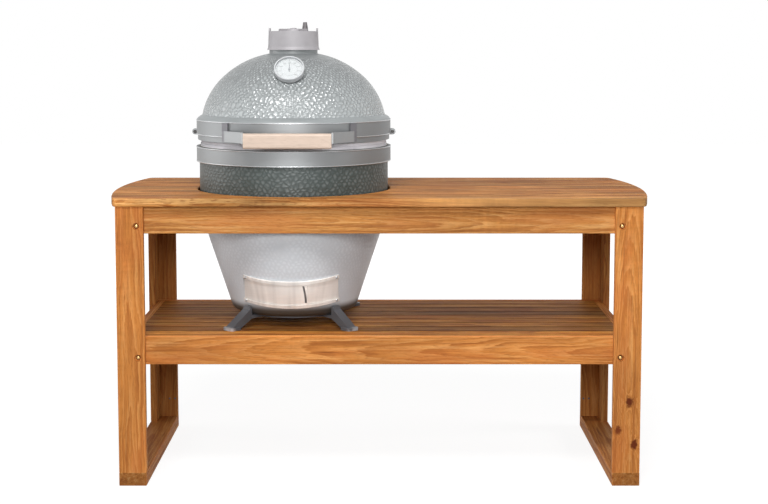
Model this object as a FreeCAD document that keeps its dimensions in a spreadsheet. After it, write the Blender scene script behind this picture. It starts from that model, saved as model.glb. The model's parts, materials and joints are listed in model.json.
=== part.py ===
import FreeCAD, Part
import math
import os
import re
import Sketcher

# A hardwood table with a round cut-out, and the ceramic kamado grill that stands on its shelf.
# The origin is on the floor under the middle of the table. +X is to the right, the front faces -Y.

VECTOR = FreeCAD.Vector
UP = VECTOR(0, 0, 1)
ALONG_X = VECTOR(1, 0, 0)
HALF_TURN = FreeCAD.Rotation(UP, 180)
TOUCHING = 0.001  # measures this close are the same

# Name, value in millimetres or degrees or a formula of other sizes, what it is
SIZES = [
    ("table_length", 1530, "top, end to end at mid depth"),
    ("end_bow", 40, "how far each end of the top bows out past its corners"),
    ("rim_margin", 44, "cut-out to the front and back edges of the top"),
    ("table_depth", "=cutout_diameter + 2 * rim_margin", "top, front to back"),
    ("table_height", 800, "floor to top"),
    ("top_thickness", 23, "glued-up panel"),
    ("top_corner_radius", 20, "plan corners of the panel"),
    ("top_edge_round", 4, "upper and lower edges of the panel"),
    ("cutout_clearance", 6, "air round the grill in its cut-out"),
    ("cutout_diameter", "=2 * (base_radius + cutout_clearance)", "round cut-out for the grill"),
    ("cutout_offset", 250, "centre of the cut-out left of the middle"),
    ("end_overhang", 45, "ends of the top past the legs"),
    ("frame_length", "=table_length - 2 * end_overhang", "over the legs, left to right"),
    ("top_overhang", 6.5, "top past the legs, front and back"),
    ("frame_depth", "=table_depth - 2 * top_overhang", "over the legs, front to back"),
    ("arris", 1.5, "eased edges of every board"),
    ("leg_board_thickness", 20, "face boards and side boards"),
    ("leg_face_width", 76, "face board of a leg"),
    ("leg_side_width", 64, "side board of a leg"),
    ("runner_width", 76, "runner, left to right"),
    ("runner_height", 37, "runner, floor to top"),
    ("rail_thickness", 24, "aprons and rails"),
    ("apron_height", 76, "frame under the top"),
    ("shelf_height", 414, "floor to the shelf's surface"),
    ("shelf_rail_height", 77, "frame of the shelf"),
    ("slat_count", 9, "boards of the shelf"),
    ("slat_thickness", 18, "boards of the shelf"),
    ("slat_gap", 3.5, "between two slats"),
    ("bearer_width", 44, "cross pieces under the slats"),
    ("bearer_thickness", 22, "cross pieces under the slats"),
    ("bearer_spacing", 375, "middle of one cross piece to the next"),
    ("batten_width", 50, "cross pieces under the top"),
    ("batten_thickness", 22, "cross pieces under the top"),
    ("batten_margin", 38, "edge of the cut-out to the first batten"),
    ("batten_spacing", 310, "middle of one batten to the next"),
    ("bolt_inset", 57, "bolt from the outer face of the leg"),
    ("bolt_rise", 22, "bolt above the lower edge of its rail"),
    ("bolt_diameter", 6, "shank"),
    ("bolt_play", 0.25, "hole in a board round the shank, radial"),
    ("bolt_head_diameter", 14, "round head"),
    ("bolt_head_height", 4, "round head"),
    ("counterbore_diameter", 19, "pocket for the head"),
    ("counterbore_depth", 6, "pocket for the head"),
    ("nut_width", 10, "across the flats"),
    ("nut_height", 5, "hexagon nut"),
    ("nut_play", 0.05, "nut round the bolt's thread, radial"),
    ("bolt_tip", 2, "thread past the nut"),
    ("base_radius", 275, "outside of the base at its rim"),
    ("base_rim_height", 512, "shelf to the rim of the base"),
    ("belly_drop", 100, "rim to where the base starts to draw in"),
    ("belly_height", "=base_rim_height - belly_drop", "shelf to where the base starts to draw in"),
    ("belly_curve", 574, "radius of the base's curved side"),
    ("base_taper", 18.3, "angle of the lower base"),
    ("stand_height", 33, "shelf to the underside of the base"),
    ("base_corner_round", 20, "lower corner of the base"),
    ("base_wall", 24, "ceramic wall of the base"),
    ("base_floor", 25, "ceramic floor of the base"),
    ("firebox_gap", 12, "air between firebox and base"),
    ("firebox_height", 296, "firebox, on the base's floor"),
    ("firebox_radius", 234, "firebox at its rim"),
    ("firebox_wall", 22, "firebox and fire ring"),
    ("ash_space_height", 70, "base's floor to the firebox's ledge"),
    ("ledge_thickness", 18, "ledge that carries the charcoal grate"),
    ("ledge_radius", 95, "opening in the ledge"),
    ("mouth_height", 45, "upright sides of the firebox's mouth"),
    ("mouth_curve", 60, "arch of the firebox's mouth"),
    ("grate_radius", 118, "charcoal grate"),
    ("grate_thickness", 8, "charcoal grate"),
    ("grate_hub_radius", 33, "charcoal grate's axis to where its slots start"),
    ("grate_slot_width", 10, "slots of the charcoal grate"),
    ("grate_slot_count", 12, "slots of the charcoal grate"),
    ("fire_ring_height", 130, "fire ring, on the firebox"),
    ("grid_radius", 224, "cooking grid"),
    ("grid_thickness", 8, "cooking grid"),
    ("grid_rim", 12, "solid rim of the cooking grid"),
    ("grid_pitch", 24, "one slot of the grid to the next"),
    ("grid_slot_width", 15, "slots of the cooking grid"),
    ("gasket_height", 8, "each felt ring"),
    ("gasket_outer", 271, "each felt ring"),
    ("gasket_inner", 253, "each felt ring"),
    ("lid_gap", 0.3, "between the felt rings with the lid shut"),
    ("lid_radius", 270, "outside of the dome at its rim"),
    ("lid_wall", 22, "ceramic wall of the dome"),
    ("lid_skirt", 33, "upright part of the dome above its rim"),
    ("shoulder_curve", 203, "radius of the dome's shoulder"),
    ("shoulder_angle", 45, "where the shoulder meets the crown"),
    ("crown_curve", 261, "radius of the dome's crown"),
    ("neck_radius", 70, "outside of the neck"),
    ("neck_bore", 50, "inside of the neck"),
    ("neck_rise", 288, "rim of the base to the top of the neck"),
    ("neck_height", "=base_rim_height + neck_rise", "shelf to the top of the neck"),
    ("band_wall", 3, "sheet of both hoops"),
    ("band_fit", 0.3, "hoop round the ceramic, radial"),
    ("lower_band_radius", 283, "outside of the lower hoop"),
    ("lower_band_height", 44, "lower hoop"),
    ("lower_band_drop", 1, "lower hoop below the rim"),
    ("upper_band_radius", 282.5, "outside of the upper hoop"),
    ("upper_band_height", 58, "upper hoop"),
    ("upper_band_rise", 2, "upper hoop above the dome's rim"),
    ("upper_band_step", 16, "height of the hoop's drawn-in lower part"),
    ("upper_band_step_in", 3.5, "how far that part is drawn in"),
    ("ear_length", 15, "clamp ears of the upper hoop, outwards"),
    ("ear_height", 18, "clamp ears"),
    ("ear_rise", 4.5, "top of the drawn-in part to the middle of the ears"),
    ("ear_thickness", 3, "clamp ears"),
    ("ear_gap", 6, "between two ears"),
    ("clamp_bolt_diameter", 5, "bolt through the ears"),
    ("clamp_head_width", 9, "head and nut of that bolt"),
    ("clamp_head_height", 5, "head and nut of that bolt"),
    ("hinge_reach", 298, "grill's axis to the hinge pin"),
    ("hinge_pin_diameter", 10, "hinge pin"),
    ("hinge_pin_play", 0.05, "running fit on the pin, radial"),
    ("hinge_width", 72, "over the outer cheeks"),
    ("hinge_sheet", 3, "hinge plates and cheeks"),
    ("hinge_side_gap", 1, "between an inner and an outer cheek"),
    ("hinge_boss_radius", 10, "cheek round the pin"),
    ("pin_head_radius", 8, "heads of the pin"),
    ("pin_head_length", 4, "heads of the pin"),
    ("grip_length", 240, "wooden handle"),
    ("grip_height", 42, "wooden handle"),
    ("grip_depth", 24, "wooden handle"),
    ("grip_round", 7, "long edges of the handle"),
    ("grip_front", 319, "grill's axis to the front of the handle"),
    ("grip_lift", 8, "rim of the base to the underside of the handle"),
    ("grip_rise", "=base_rim_height + grip_lift", "shelf to the underside of the handle"),
    ("handle_foot_angle", 38.5, "where a handle arm meets the hoop"),
    ("handle_foot_spread", 4.2, "width of that foot, as an angle"),
    ("handle_arm_thickness", 5, "handle arm"),
    ("handle_arm_height", 30, "handle arm"),
    ("handle_arm_lift", 14, "underside of the handle to the underside of an arm"),
    ("handle_arm_rise", "=grip_rise + handle_arm_lift", "shelf to the underside of an arm"),
    ("handle_foot_height", 40, "foot plate of an arm"),
    ("handle_fit", 0.3, "arm to hoop and arm to handle"),
    ("dial_drop", 76, "top of the neck to where the thermometer's axis leaves the dome"),
    ("dial_height", "=neck_height - dial_drop", "shelf to where the thermometer's axis leaves the dome"),
    ("dial_tilt", 40, "thermometer's axis above level"),
    ("dial_radius", 42, "thermometer case"),
    ("dial_depth", 14, "thermometer case"),
    ("dial_wall", 2, "thermometer case and its lip"),
    ("dial_lip", 3, "lip over the glass"),
    ("dial_plate_depth", 6, "back of the case to the dial's face"),
    ("dial_boss_radius", 30, "ceramic boss under the thermometer"),
    ("dial_boss_height", 9, "ceramic boss under the thermometer"),
    ("probe_radius", 3, "thermometer probe"),
    ("probe_length", 76, "thermometer probe behind the case"),
    ("probe_play", 0.5, "hole round the probe, radial"),
    ("glass_thickness", 1.5, "thermometer glass"),
    ("glass_fit", 0.3, "glass in its case"),
    ("needle_length", 28, "pivot to the tip"),
    ("needle_tail", 9, "pivot to the tail"),
    ("needle_width", 3, "at the pivot"),
    ("needle_thickness", 0.8, "needle"),
    ("needle_lift", 1, "dial's face to the needle"),
    ("needle_hub_radius", 3, "boss of the needle"),
    ("pivot_radius", 1, "pin of the needle"),
    ("pivot_play", 0.05, "running fit of the needle, radial"),
    ("vent_lap", 12, "vent cap down over the neck"),
    ("vent_height", "=neck_height - vent_lap", "shelf to the lower edge of the vent cap"),
    ("vent_flare_radius", 76.5, "vent cap at its lower edge"),
    ("vent_waist_radius", 73.5, "vent cap above its flare"),
    ("vent_rim_radius", 71.5, "vent cap at its rim"),
    ("vent_flare_height", 9, "flare of the vent cap"),
    ("vent_cap_height", 54, "vent cap, flare to rim"),
    ("vent_ear_height", 9, "two raised ears of the rim"),
    ("vent_ear_width", 24, "two raised ears of the rim"),
    ("vent_wall", 4, "vent cap's wall and plate"),
    ("vent_fit", 0.4, "vent cap round the neck"),
    ("vent_plate_drop", 4, "rim to the face of the fixed plate"),
    ("petal_count", 4, "openings in plate and disc"),
    ("petal_angle", 42, "width of an opening"),
    ("petal_inner", 17, "openings, nearest the axis"),
    ("petal_outer", 56, "openings, farthest from the axis"),
    ("vent_disc_radius", 65, "turning disc"),
    ("vent_disc_thickness", 4, "rim of the disc"),
    ("vent_crown_radius", 43, "raised part of the disc"),
    ("vent_crown_height", 11, "raised part of the disc"),
    ("vent_hub_radius", 9, "middle of the disc"),
    ("vent_pin_radius", 4, "pin that the disc turns on"),
    ("vent_pin_play", 0.06, "running fit of the disc, radial"),
    ("vent_pin_height", 14, "pin above the fixed plate"),
    ("vent_disc_gap", 0.3, "fixed plate to the disc"),
    ("knob_offset", 34, "vent's axis to its knob"),
    ("knob_radius", 9.5, "knob at its foot"),
    ("knob_tip_radius", 5.5, "knob at its top"),
    ("knob_height", 19, "knob above the raised part"),
    ("draft_height", 101, "shelf to the middle of the draft opening"),
    ("draft_frame_height", 83, "draft frame along the slope"),
    ("draft_frame_angle", 77, "draft frame round the base"),
    ("draft_recess", 1, "seat cut into the base for the draft frame"),
    ("draft_sheet", 1.5, "frame's plate and door"),
    ("draft_fit", 0.3, "base to frame, frame to door"),
    ("draft_rail", 3.5, "thickness of the rails that hold the door"),
    ("draft_lip", 1.3, "lip over the door's edge"),
    ("draft_lip_reach", 6, "lip over the door's edge"),
    ("draft_window_angle", 21, "air opening round the base"),
    ("draft_window_height", 52, "air opening along the slope"),
    ("draft_door_angle", 25, "door round the base"),
    ("tab_height", 56, "finger tab of the door"),
    ("tab_reach", 9, "finger tab of the door"),
    ("tab_angle", 0.6, "thickness of the tab, as an angle"),
    ("ring_outer", 150, "stand ring"),
    ("ring_inner", 118, "stand ring"),
    ("ring_thickness", 8, "stand ring"),
    ("foot_angle", 50, "foot from the left-right line"),
    ("foot_fit", 0.3, "foot to ring and to base"),
    ("foot_width", 28, "leg of a foot"),
    ("foot_cup_height", 62, "shelf to the top of a foot"),
    ("foot_cup_gap", 2.6, "upright part of a foot to the base"),
    ("foot_cup_thickness", 8, "upright part of a foot"),
    ("foot_cup_round", 11, "rounded top of a foot"),
    ("toe_radius", 278, "grill's axis to the tip of a toe"),
    ("toe_length", 34, "toe"),
    ("toe_width", 42, "toe"),
    ("toe_thickness", 8, "toe"),
    ("toe_round", 12, "corners of a toe"),
]

document = FreeCAD.newDocument("kamado_grill_table")
sheet = document.addObject("Spreadsheet::Sheet", "Sizes")
for row, (alias, amount, meaning) in enumerate(SIZES, start=1):
    sheet.setAlias(f"A{row}", alias)
    sheet.set(f"B{row}", meaning)
for row, (alias, amount, meaning) in enumerate(SIZES, start=1):
    sheet.set(f"A{row}", str(amount))
document.recompute()

ALIASES = {alias for alias, amount, meaning in SIZES}
finished = []


def formula(text):
    """The text as an expression in which every size's name points at the sheet."""
    return re.sub(r"[a-z_]+", lambda word: "Sizes." * (word[0] in ALIASES) + word[0], str(text))


def number(text):
    """What a formula comes to with the present sizes."""
    return float(sheet.evalExpression(formula(text)))


def bind(thing, prop, text):
    """Tie a property to a formula on the sheet."""
    thing.setExpression(prop, formula(text))


def place(thing, x="0", y="0", z="0", turn=FreeCAD.Rotation()):
    """Put a thing at a point given by three formulas."""
    thing.Placement = FreeCAD.Placement(VECTOR(number(x), number(y), number(z)), turn)
    bind(thing, "Placement.Base.x", x)
    bind(thing, "Placement.Base.y", y)
    bind(thing, "Placement.Base.z", z)


# Sketches

def new_body(label):
    """An empty body with its label."""
    body = document.addObject("PartDesign::Body", label)
    body.Label = label
    return body


def sketch_on(body, role, lift="0"):
    """An empty sketch on one of the body's own origin planes, lifted off it by a formula."""
    sketch = body.newObject("Sketcher::SketchObject", body.Name + "_sketch")
    plane = next(item for item in body.Origin.OriginFeatures if item.Role == role)
    sketch.AttachmentSupport = [(plane, "")]
    sketch.MapMode = "FlatFace"
    bind(sketch, "AttachmentOffset.Base.z", lift)
    return sketch


def fix_point(sketch, piece, end, x, y):
    """Dimension one point of a sketch from the sketch's origin."""
    for kind, axis, text in (("DistanceX", -2, x), ("DistanceY", -1, y)):
        if text == "0":
            sketch.addConstraint(Sketcher.Constraint("PointOnObject", piece, end, axis))
        else:
            index = sketch.addConstraint(Sketcher.Constraint(kind, -1, 1, piece, end, number(text)))
            bind(sketch, f"Constraints[{index}]", text)


def outline(sketch, corners):
    """A closed outline. A corner is x, y, or x, y, radius, side where an arc arrives there:
    side is 1 for an arc that turns left and -1 for one that turns right."""
    spots = [VECTOR(number(corner[0]), number(corner[1]), 0) for corner in corners]
    pieces = []
    for index, corner in enumerate(corners):
        start, end = spots[index - 1], spots[index]
        if len(corner) == 2:
            pieces.append((sketch.addGeometry(Part.LineSegment(start, end)), 1, 2))
            continue
        radius, side = number(corner[2]), corner[3]
        chord = end - start
        sag = radius - math.sqrt(radius ** 2 - chord.Length ** 2 / 4)
        across = VECTOR(chord.y, -chord.x, 0).normalize()
        middle = (start + end) * 0.5 + across * sag * side
        piece = sketch.addGeometry(Part.Arc(start, middle, end))
        first, last = (1, 2) if side > 0 else (2, 1)
        pieces.append((piece, first, last))
        limit = sketch.addConstraint(Sketcher.Constraint("Radius", piece, radius))
        bind(sketch, f"Constraints[{limit}]", corner[2])
    for index, (piece, first, last) in enumerate(pieces):
        before, _, end_before = pieces[index - 1]
        sketch.addConstraint(Sketcher.Constraint("Coincident", before, end_before, piece, first))
        fix_point(sketch, piece, last, corners[index][0], corners[index][1])


def circle(sketch, x, y, radius):
    """A circle with its centre and radius given by formulas."""
    middle = VECTOR(number(x), number(y), 0)
    piece = sketch.addGeometry(Part.Circle(middle, VECTOR(0, 0, 1), number(radius)))
    fix_point(sketch, piece, 3, x, y)
    limit = sketch.addConstraint(Sketcher.Constraint("Radius", piece, number(radius)))
    bind(sketch, f"Constraints[{limit}]", radius)


def rectangle(sketch, left, low, right, high):
    """An upright rectangle between two corners given by formulas."""
    outline(sketch, [(left, low), (right, low), (right, high), (left, high)])


# Features

def feature(body, kind, sketch, **settings):
    """A feature made from a sketch."""
    made = body.newObject("PartDesign::" + kind, f"{body.Name}_{kind.lower()}")
    made.Profile = sketch
    for name, setting in settings.items():
        setattr(made, name, setting)
    return made


def pad(body, sketch, length, **settings):
    """Raise a sketch into a solid."""
    made = feature(body, "Pad", sketch, **settings)
    bind(made, "Length", length)
    return made


def cut(body, sketch, length=None, **settings):
    """Cut a sketch out of the body, right through where no length is given, and check that it cut."""
    document.recompute()
    volume = body.Shape.Volume
    made = feature(body, "Pocket", sketch, **settings)
    if length is None:
        made.Type = "ThroughAll"
    else:
        bind(made, "Length", length)
    document.recompute()
    if volume - body.Shape.Volume < TOUCHING:
        raise RuntimeError(f"{made.Name} removes nothing")
    return made


def turn(body, sketch, angle="360", **settings):
    """Turn a profile about the upright axis."""
    made = feature(body, "Revolution", sketch, **settings)
    made.ReferenceAxis = (sketch, ["V_Axis"])
    bind(made, "Angle", angle)
    return made


def polar(body, source, count):
    """Repeat a feature round the upright axis."""
    made = body.newObject("PartDesign::PolarPattern", body.Name + "_polar")
    made.Originals = [source]
    made.Axis = (next(item for item in body.Origin.OriginFeatures if item.Role == "Z_Axis"), [""])
    made.Angle = 360
    bind(made, "Occurrences", count)
    body.Tip = made
    return made


def ease(body, kind, size, chosen):
    """Round or chamfer the edges that the test picks."""
    document.recompute()
    names = [f"Edge{index}" for index, edge in enumerate(body.Shape.Edges, start=1) if chosen(edge)]
    before = body.Tip
    made = body.newObject("PartDesign::" + kind, f"{body.Name}_{kind.lower()}")
    made.Base = (before, names)
    bind(made, "Radius" if kind == "Fillet" else "Size", size)
    body.Tip = made
    return made


def same(first, second):
    """Whether two measures are the same but for rounding."""
    return abs(first - second) < TOUCHING


def runs_along(edge, direction):
    """Whether a straight edge is parallel to a direction."""
    if edge.Curve.TypeId != "Part::GeomLine":
        return False
    return edge.Curve.Direction.cross(direction).Length < TOUCHING


def keep(thing, node=None):
    """List a finished sub-part, under its node's name."""
    if node:
        thing.Label = node
    finished.append(thing)
    return thing


def joined(kind, label, *members):
    """A boolean or a group of several shapes."""
    made = document.addObject("Part::" + kind, label)
    if kind == "Cut":
        made.Base, made.Tool = members
    elif kind == "MultiFuse":
        made.Shapes = list(members)
        made.Refine = True
    else:
        made.Links = list(members)
    return made


# Table: boards

TOP_UNDERSIDE = "(table_height - top_thickness)"
LEG_LENGTH = f"({TOP_UNDERSIDE} - runner_height)"
RAIL_FRONT = "(frame_depth / 2 - leg_board_thickness)"
RAIL_BACK = f"({RAIL_FRONT} - rail_thickness)"
RAIL_END = "(frame_length / 2 - leg_board_thickness)"
RAIL_INSIDE = f"({RAIL_END} - rail_thickness)"
APRON_LOW = f"({TOP_UNDERSIDE} - apron_height)"
SHELF_RAIL_LOW = "(shelf_height - shelf_rail_height)"
SLAT_WIDTH = f"((2 * {RAIL_BACK} - (slat_count + 1) * slat_gap) / slat_count)"
SLAT_UNDERSIDE = "(shelf_height - slat_thickness)"
COUNTERBORE_FACE = "(frame_depth / 2 - counterbore_depth)"


def board(label, size, corner, grain, halfway_round=False):
    """A planed board of three sizes, placed by its left, front, lower corner, with its long
    arrises eased. A board turned halfway round is placed by its right, back, lower corner."""
    body = new_body(label)
    section = sketch_on(body, "XY_Plane")
    rectangle(section, "0", "0", size[0], size[1])
    pad(body, section, size[2])
    ease(body, "Chamfer", "arris", lambda edge: runs_along(edge, grain))
    place(body, *corner, turn=HALF_TURN if halfway_round else FreeCAD.Rotation())
    return keep(body)


def bore_board(body, centres, bore, face=None):
    """Drill a board from its front face, with a wider pocket at the face where one is asked."""
    holes = sketch_on(body, "XZ_Plane")
    for x, z in centres:
        circle(holes, x, z, bore)
    cut(body, holes)
    if face:
        pockets = sketch_on(body, "XZ_Plane")
        for x, z in centres:
            circle(pockets, x, z, face)
        cut(body, pockets, "counterbore_depth")


def make_top():
    """The panel: bowed ends, rounded corners, a round cut-out and softened edges."""
    body = new_body("table_top")
    plan = sketch_on(body, "XY_Plane", TOP_UNDERSIDE)
    bow_radius = "((pow(table_depth / 2; 2) + pow(end_bow; 2)) / (2 * end_bow))"
    right, back = "(table_length / 2 - end_bow)", "table_depth / 2"
    outline(plan, [
        (f"-{right}", f"-{back}", bow_radius, 1),
        (right, f"-{back}"),
        (right, back, bow_radius, 1),
        (f"-{right}", back),
    ])
    circle(plan, "-cutout_offset", "0", "cutout_diameter / 2")
    pad(body, plan, "top_thickness")
    ease(body, "Fillet", "top_corner_radius", lambda edge: runs_along(edge, UP))
    level = (number(TOP_UNDERSIDE), number("table_height"))
    ease(body, "Fillet", "top_edge_round",
         lambda edge: same(edge.BoundBox.ZLength, 0) and any(same(edge.BoundBox.ZMin, z) for z in level))
    keep(body)


def make_legs():
    """Four legs of two boards. The back pair is the front pair turned halfway round."""
    bolt_heights = [f"{low} + bolt_rise - runner_height" for low in (APRON_LOW, SHELF_RAIL_LOW)]
    for row, front in (("front", True), ("back", False)):
        for side, left in (("left", True), ("right", False)):
            # Seen from outside, the board whose outer edge is on the viewer's left.
            outer_left = left == front
            inset = "bolt_inset" if outer_left else "leg_face_width - bolt_inset"
            start = "-frame_length / 2" if outer_left else "frame_length / 2 - leg_face_width"
            corner = (start, "-frame_depth / 2", "runner_height")
            if not front:
                corner = (f"-({start})", "frame_depth / 2", "runner_height")
            face = board(f"{row}_{side}_leg_face_board",
                         ("leg_face_width", "leg_board_thickness", LEG_LENGTH), corner, UP, not front)
            bore_board(face, [(inset, z) for z in bolt_heights],
                       "bolt_diameter / 2 + bolt_play", "counterbore_diameter / 2")
            side_start = "-frame_length / 2" if left else RAIL_END
            side_front = f"-{RAIL_FRONT}" if front else f"{RAIL_FRONT} - leg_side_width"
            board(f"{row}_{side}_leg_side_board", ("leg_board_thickness", "leg_side_width", LEG_LENGTH),
                  (side_start, side_front, "runner_height"), UP)


def make_runners():
    """The two runners that the legs stand on."""
    for side, start in (("left", "-frame_length / 2"), ("right", "frame_length / 2 - runner_width")):
        board(f"{side}_runner", ("runner_width", "frame_depth", "runner_height"),
              (start, "-frame_depth / 2", "0"), VECTOR(0, 1, 0))


def make_frame(prefix, height, low, long_name):
    """A frame of four rails between the legs, the front and back ones drilled for the bolts."""
    for row, front in (("front", True), ("back", False)):
        corner = (f"-{RAIL_END}", f"-{RAIL_FRONT}", low) if front else (RAIL_END, RAIL_FRONT, low)
        rail = board(f"{row}_{long_name}", (f"2 * {RAIL_END}", "rail_thickness", height), corner,
                     ALONG_X, not front)
        inset = "bolt_inset - leg_board_thickness"
        bore_board(rail, [(inset, "bolt_rise"), (f"2 * {RAIL_END} - ({inset})", "bolt_rise")],
                   "bolt_diameter / 2 + bolt_play")
    for side, start in (("left", f"-{RAIL_END}"), ("right", RAIL_INSIDE)):
        board(f"{side}_{prefix}_rail", ("rail_thickness", f"2 * {RAIL_BACK}", height),
              (start, f"-{RAIL_BACK}", low), VECTOR(0, 1, 0))


def cross_pieces(label, width, thickness, starts, underside_of):
    """Identical pieces that span from the front rail to the back one, under a given level."""
    pieces = []
    for index, start in enumerate(starts):
        piece = new_body(f"{label}_piece_{index + 1}")
        section = sketch_on(piece, "XY_Plane")
        rectangle(section, "0", "0", width, f"2 * {RAIL_BACK}")
        pad(piece, section, thickness)
        ease(piece, "Chamfer", "arris",
             lambda edge: runs_along(edge, VECTOR(0, 1, 0)) and same(edge.BoundBox.ZMin, 0))
        place(piece, start, f"-{RAIL_BACK}", f"{underside_of} - {thickness}")
        pieces.append(piece)
    keep(joined("Compound", f"{label}_group", *pieces), label)


def make_battens():
    """Two battens across the underside of the top, clear of the cut-out."""
    first = "cutout_diameter / 2 - cutout_offset + batten_margin"
    cross_pieces("top_battens", "batten_width", "batten_thickness",
                 [first, f"{first} + batten_spacing"], TOP_UNDERSIDE)


def make_shelf():
    """The slats, and the cross pieces and end ledgers that carry them."""
    for index in range(round(number("slat_count"))):
        front = f"{index} * ({SLAT_WIDTH} + slat_gap) + slat_gap - {RAIL_BACK}"
        board(f"shelf_slat_{index + 1}", (f"2 * {RAIL_INSIDE}", SLAT_WIDTH, "slat_thickness"),
              (f"-{RAIL_INSIDE}", front, SLAT_UNDERSIDE), ALONG_X)
    starts = [f"-{RAIL_INSIDE}", f"{RAIL_INSIDE} - bearer_width"]
    starts += [f"{step} * bearer_spacing - bearer_width / 2" for step in (-1, 0, 1)]
    cross_pieces("shelf_bearers", "bearer_width", "bearer_thickness", starts, SLAT_UNDERSIDE)


def make_bolts():
    """Eight round-head bolts in their counterbores, and their nuts behind the rails."""
    shank = "(leg_board_thickness - counterbore_depth + rail_thickness + nut_height + bolt_tip)"
    bolts, nuts = [], []
    for low in (APRON_LOW, SHELF_RAIL_LOW):
        for facing in (-1, 1):
            for side in (-1, 1):
                across = f"{side} * (frame_length / 2 - bolt_inset)"
                height = f"{low} + bolt_rise"
                lie_down = FreeCAD.Rotation(ALONG_X, 90 * -facing)
                bolt = new_body(f"bolt_{len(bolts) + 1}")
                profile = sketch_on(bolt, "XZ_Plane")
                crown = ("(pow(bolt_head_diameter / 2; 2) + pow(bolt_head_height; 2))"
                         " / (2 * bolt_head_height)")
                outline(profile, [
                    ("0", f"-{shank}"),
                    ("bolt_diameter / 2", f"-{shank}"),
                    ("bolt_diameter / 2", "0"),
                    ("bolt_head_diameter / 2", "0"),
                    ("0", "bolt_head_height", crown, 1),
                ])
                turn(bolt, profile)
                place(bolt, across, f"{facing} * {COUNTERBORE_FACE}", height, turn=lie_down)
                bolts.append(bolt)
                nut = new_body(f"nut_{len(nuts) + 1}")
                section = sketch_on(nut, "XY_Plane")
                corner = "(nut_width / sqrt(3))"
                outline(section, [(f"{corner} * cos({step} * 60)", f"{corner} * sin({step} * 60)")
                                  for step in range(6)])
                circle(section, "0", "0", "bolt_diameter / 2 + nut_play")
                pad(nut, section, "nut_height")
                place(nut, across, f"{facing} * ({RAIL_BACK} - nut_height)", height, turn=lie_down)
                nuts.append(nut)
    keep(joined("Compound", "bolts", *bolts), "frame_bolts")
    keep(joined("Compound", "nuts", *nuts), "frame_nuts")


# Grill: every piece is drawn about the grill's own axis, with the shelf as level ground.

SPOT = ("-cutout_offset", "0", "shelf_height")
BELLY_END = "(base_radius - belly_curve * (1 - cos(base_taper)))"
BELLY_END_HEIGHT = "(belly_height - belly_curve * sin(base_taper))"
FLOOR_TOP = "(stand_height + base_floor)"
FIREBOX_TOP = f"({FLOOR_TOP} + firebox_height)"
LEDGE_TOP = f"({FLOOR_TOP} + ash_space_height + ledge_thickness)"
FIRE_RING_TOP = f"({FIREBOX_TOP} + fire_ring_height)"
SEAM = "(base_rim_height + gasket_height)"
LID_RIM = f"({SEAM} + lid_gap + gasket_height)"
LID_SPRING = f"({LID_RIM} + lid_skirt)"


def cone_radius(height, inset="0"):
    """The base's sloping side at a height, drawn in by a wall thickness."""
    return (f"({BELLY_END} - ({BELLY_END_HEIGHT} - ({height})) * tan(base_taper)"
            f" - ({inset}) / cos(base_taper))")


def spin(label, corners, angle="360", **settings):
    """A body turned from one profile of radius and height."""
    body = new_body(label)
    profile = sketch_on(body, "XZ_Plane")
    outline(profile, corners)
    turn(body, profile, angle, **settings)
    return body


def on_grill(thing, node=None):
    """Stand a finished piece on the shelf, on the grill's axis."""
    place(thing, *SPOT)
    return keep(thing, node)


def box_ring(label, inner, outer, low, high):
    """A plain ring."""
    return spin(label, [(inner, low), (outer, low), (outer, high), (inner, high)])


DRAFT_MIDDLE_RADIUS = cone_radius("draft_height")
DRAFT_SEAT = f"({DRAFT_MIDDLE_RADIUS} / cos(base_taper) - draft_recess)"
DRAFT_PIVOT = f"(draft_height + {DRAFT_MIDDLE_RADIUS} * tan(base_taper))"
DRAFT_WINDOW = f"(2 * {DRAFT_SEAT} * sin(draft_window_angle / 2))"


def tilt_to_slope(thing, on_shelf):
    """Lean a piece forwards so that its upright lies along the base's slope."""
    base = ("-cutout_offset", "0", f"shelf_height + {DRAFT_PIVOT}") if on_shelf else ("0", "0", DRAFT_PIVOT)
    place(thing, *base, turn=FreeCAD.Rotation(ALONG_X, number("base_taper")))
    bind(thing, "Placement.Rotation.Angle", "base_taper")


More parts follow.
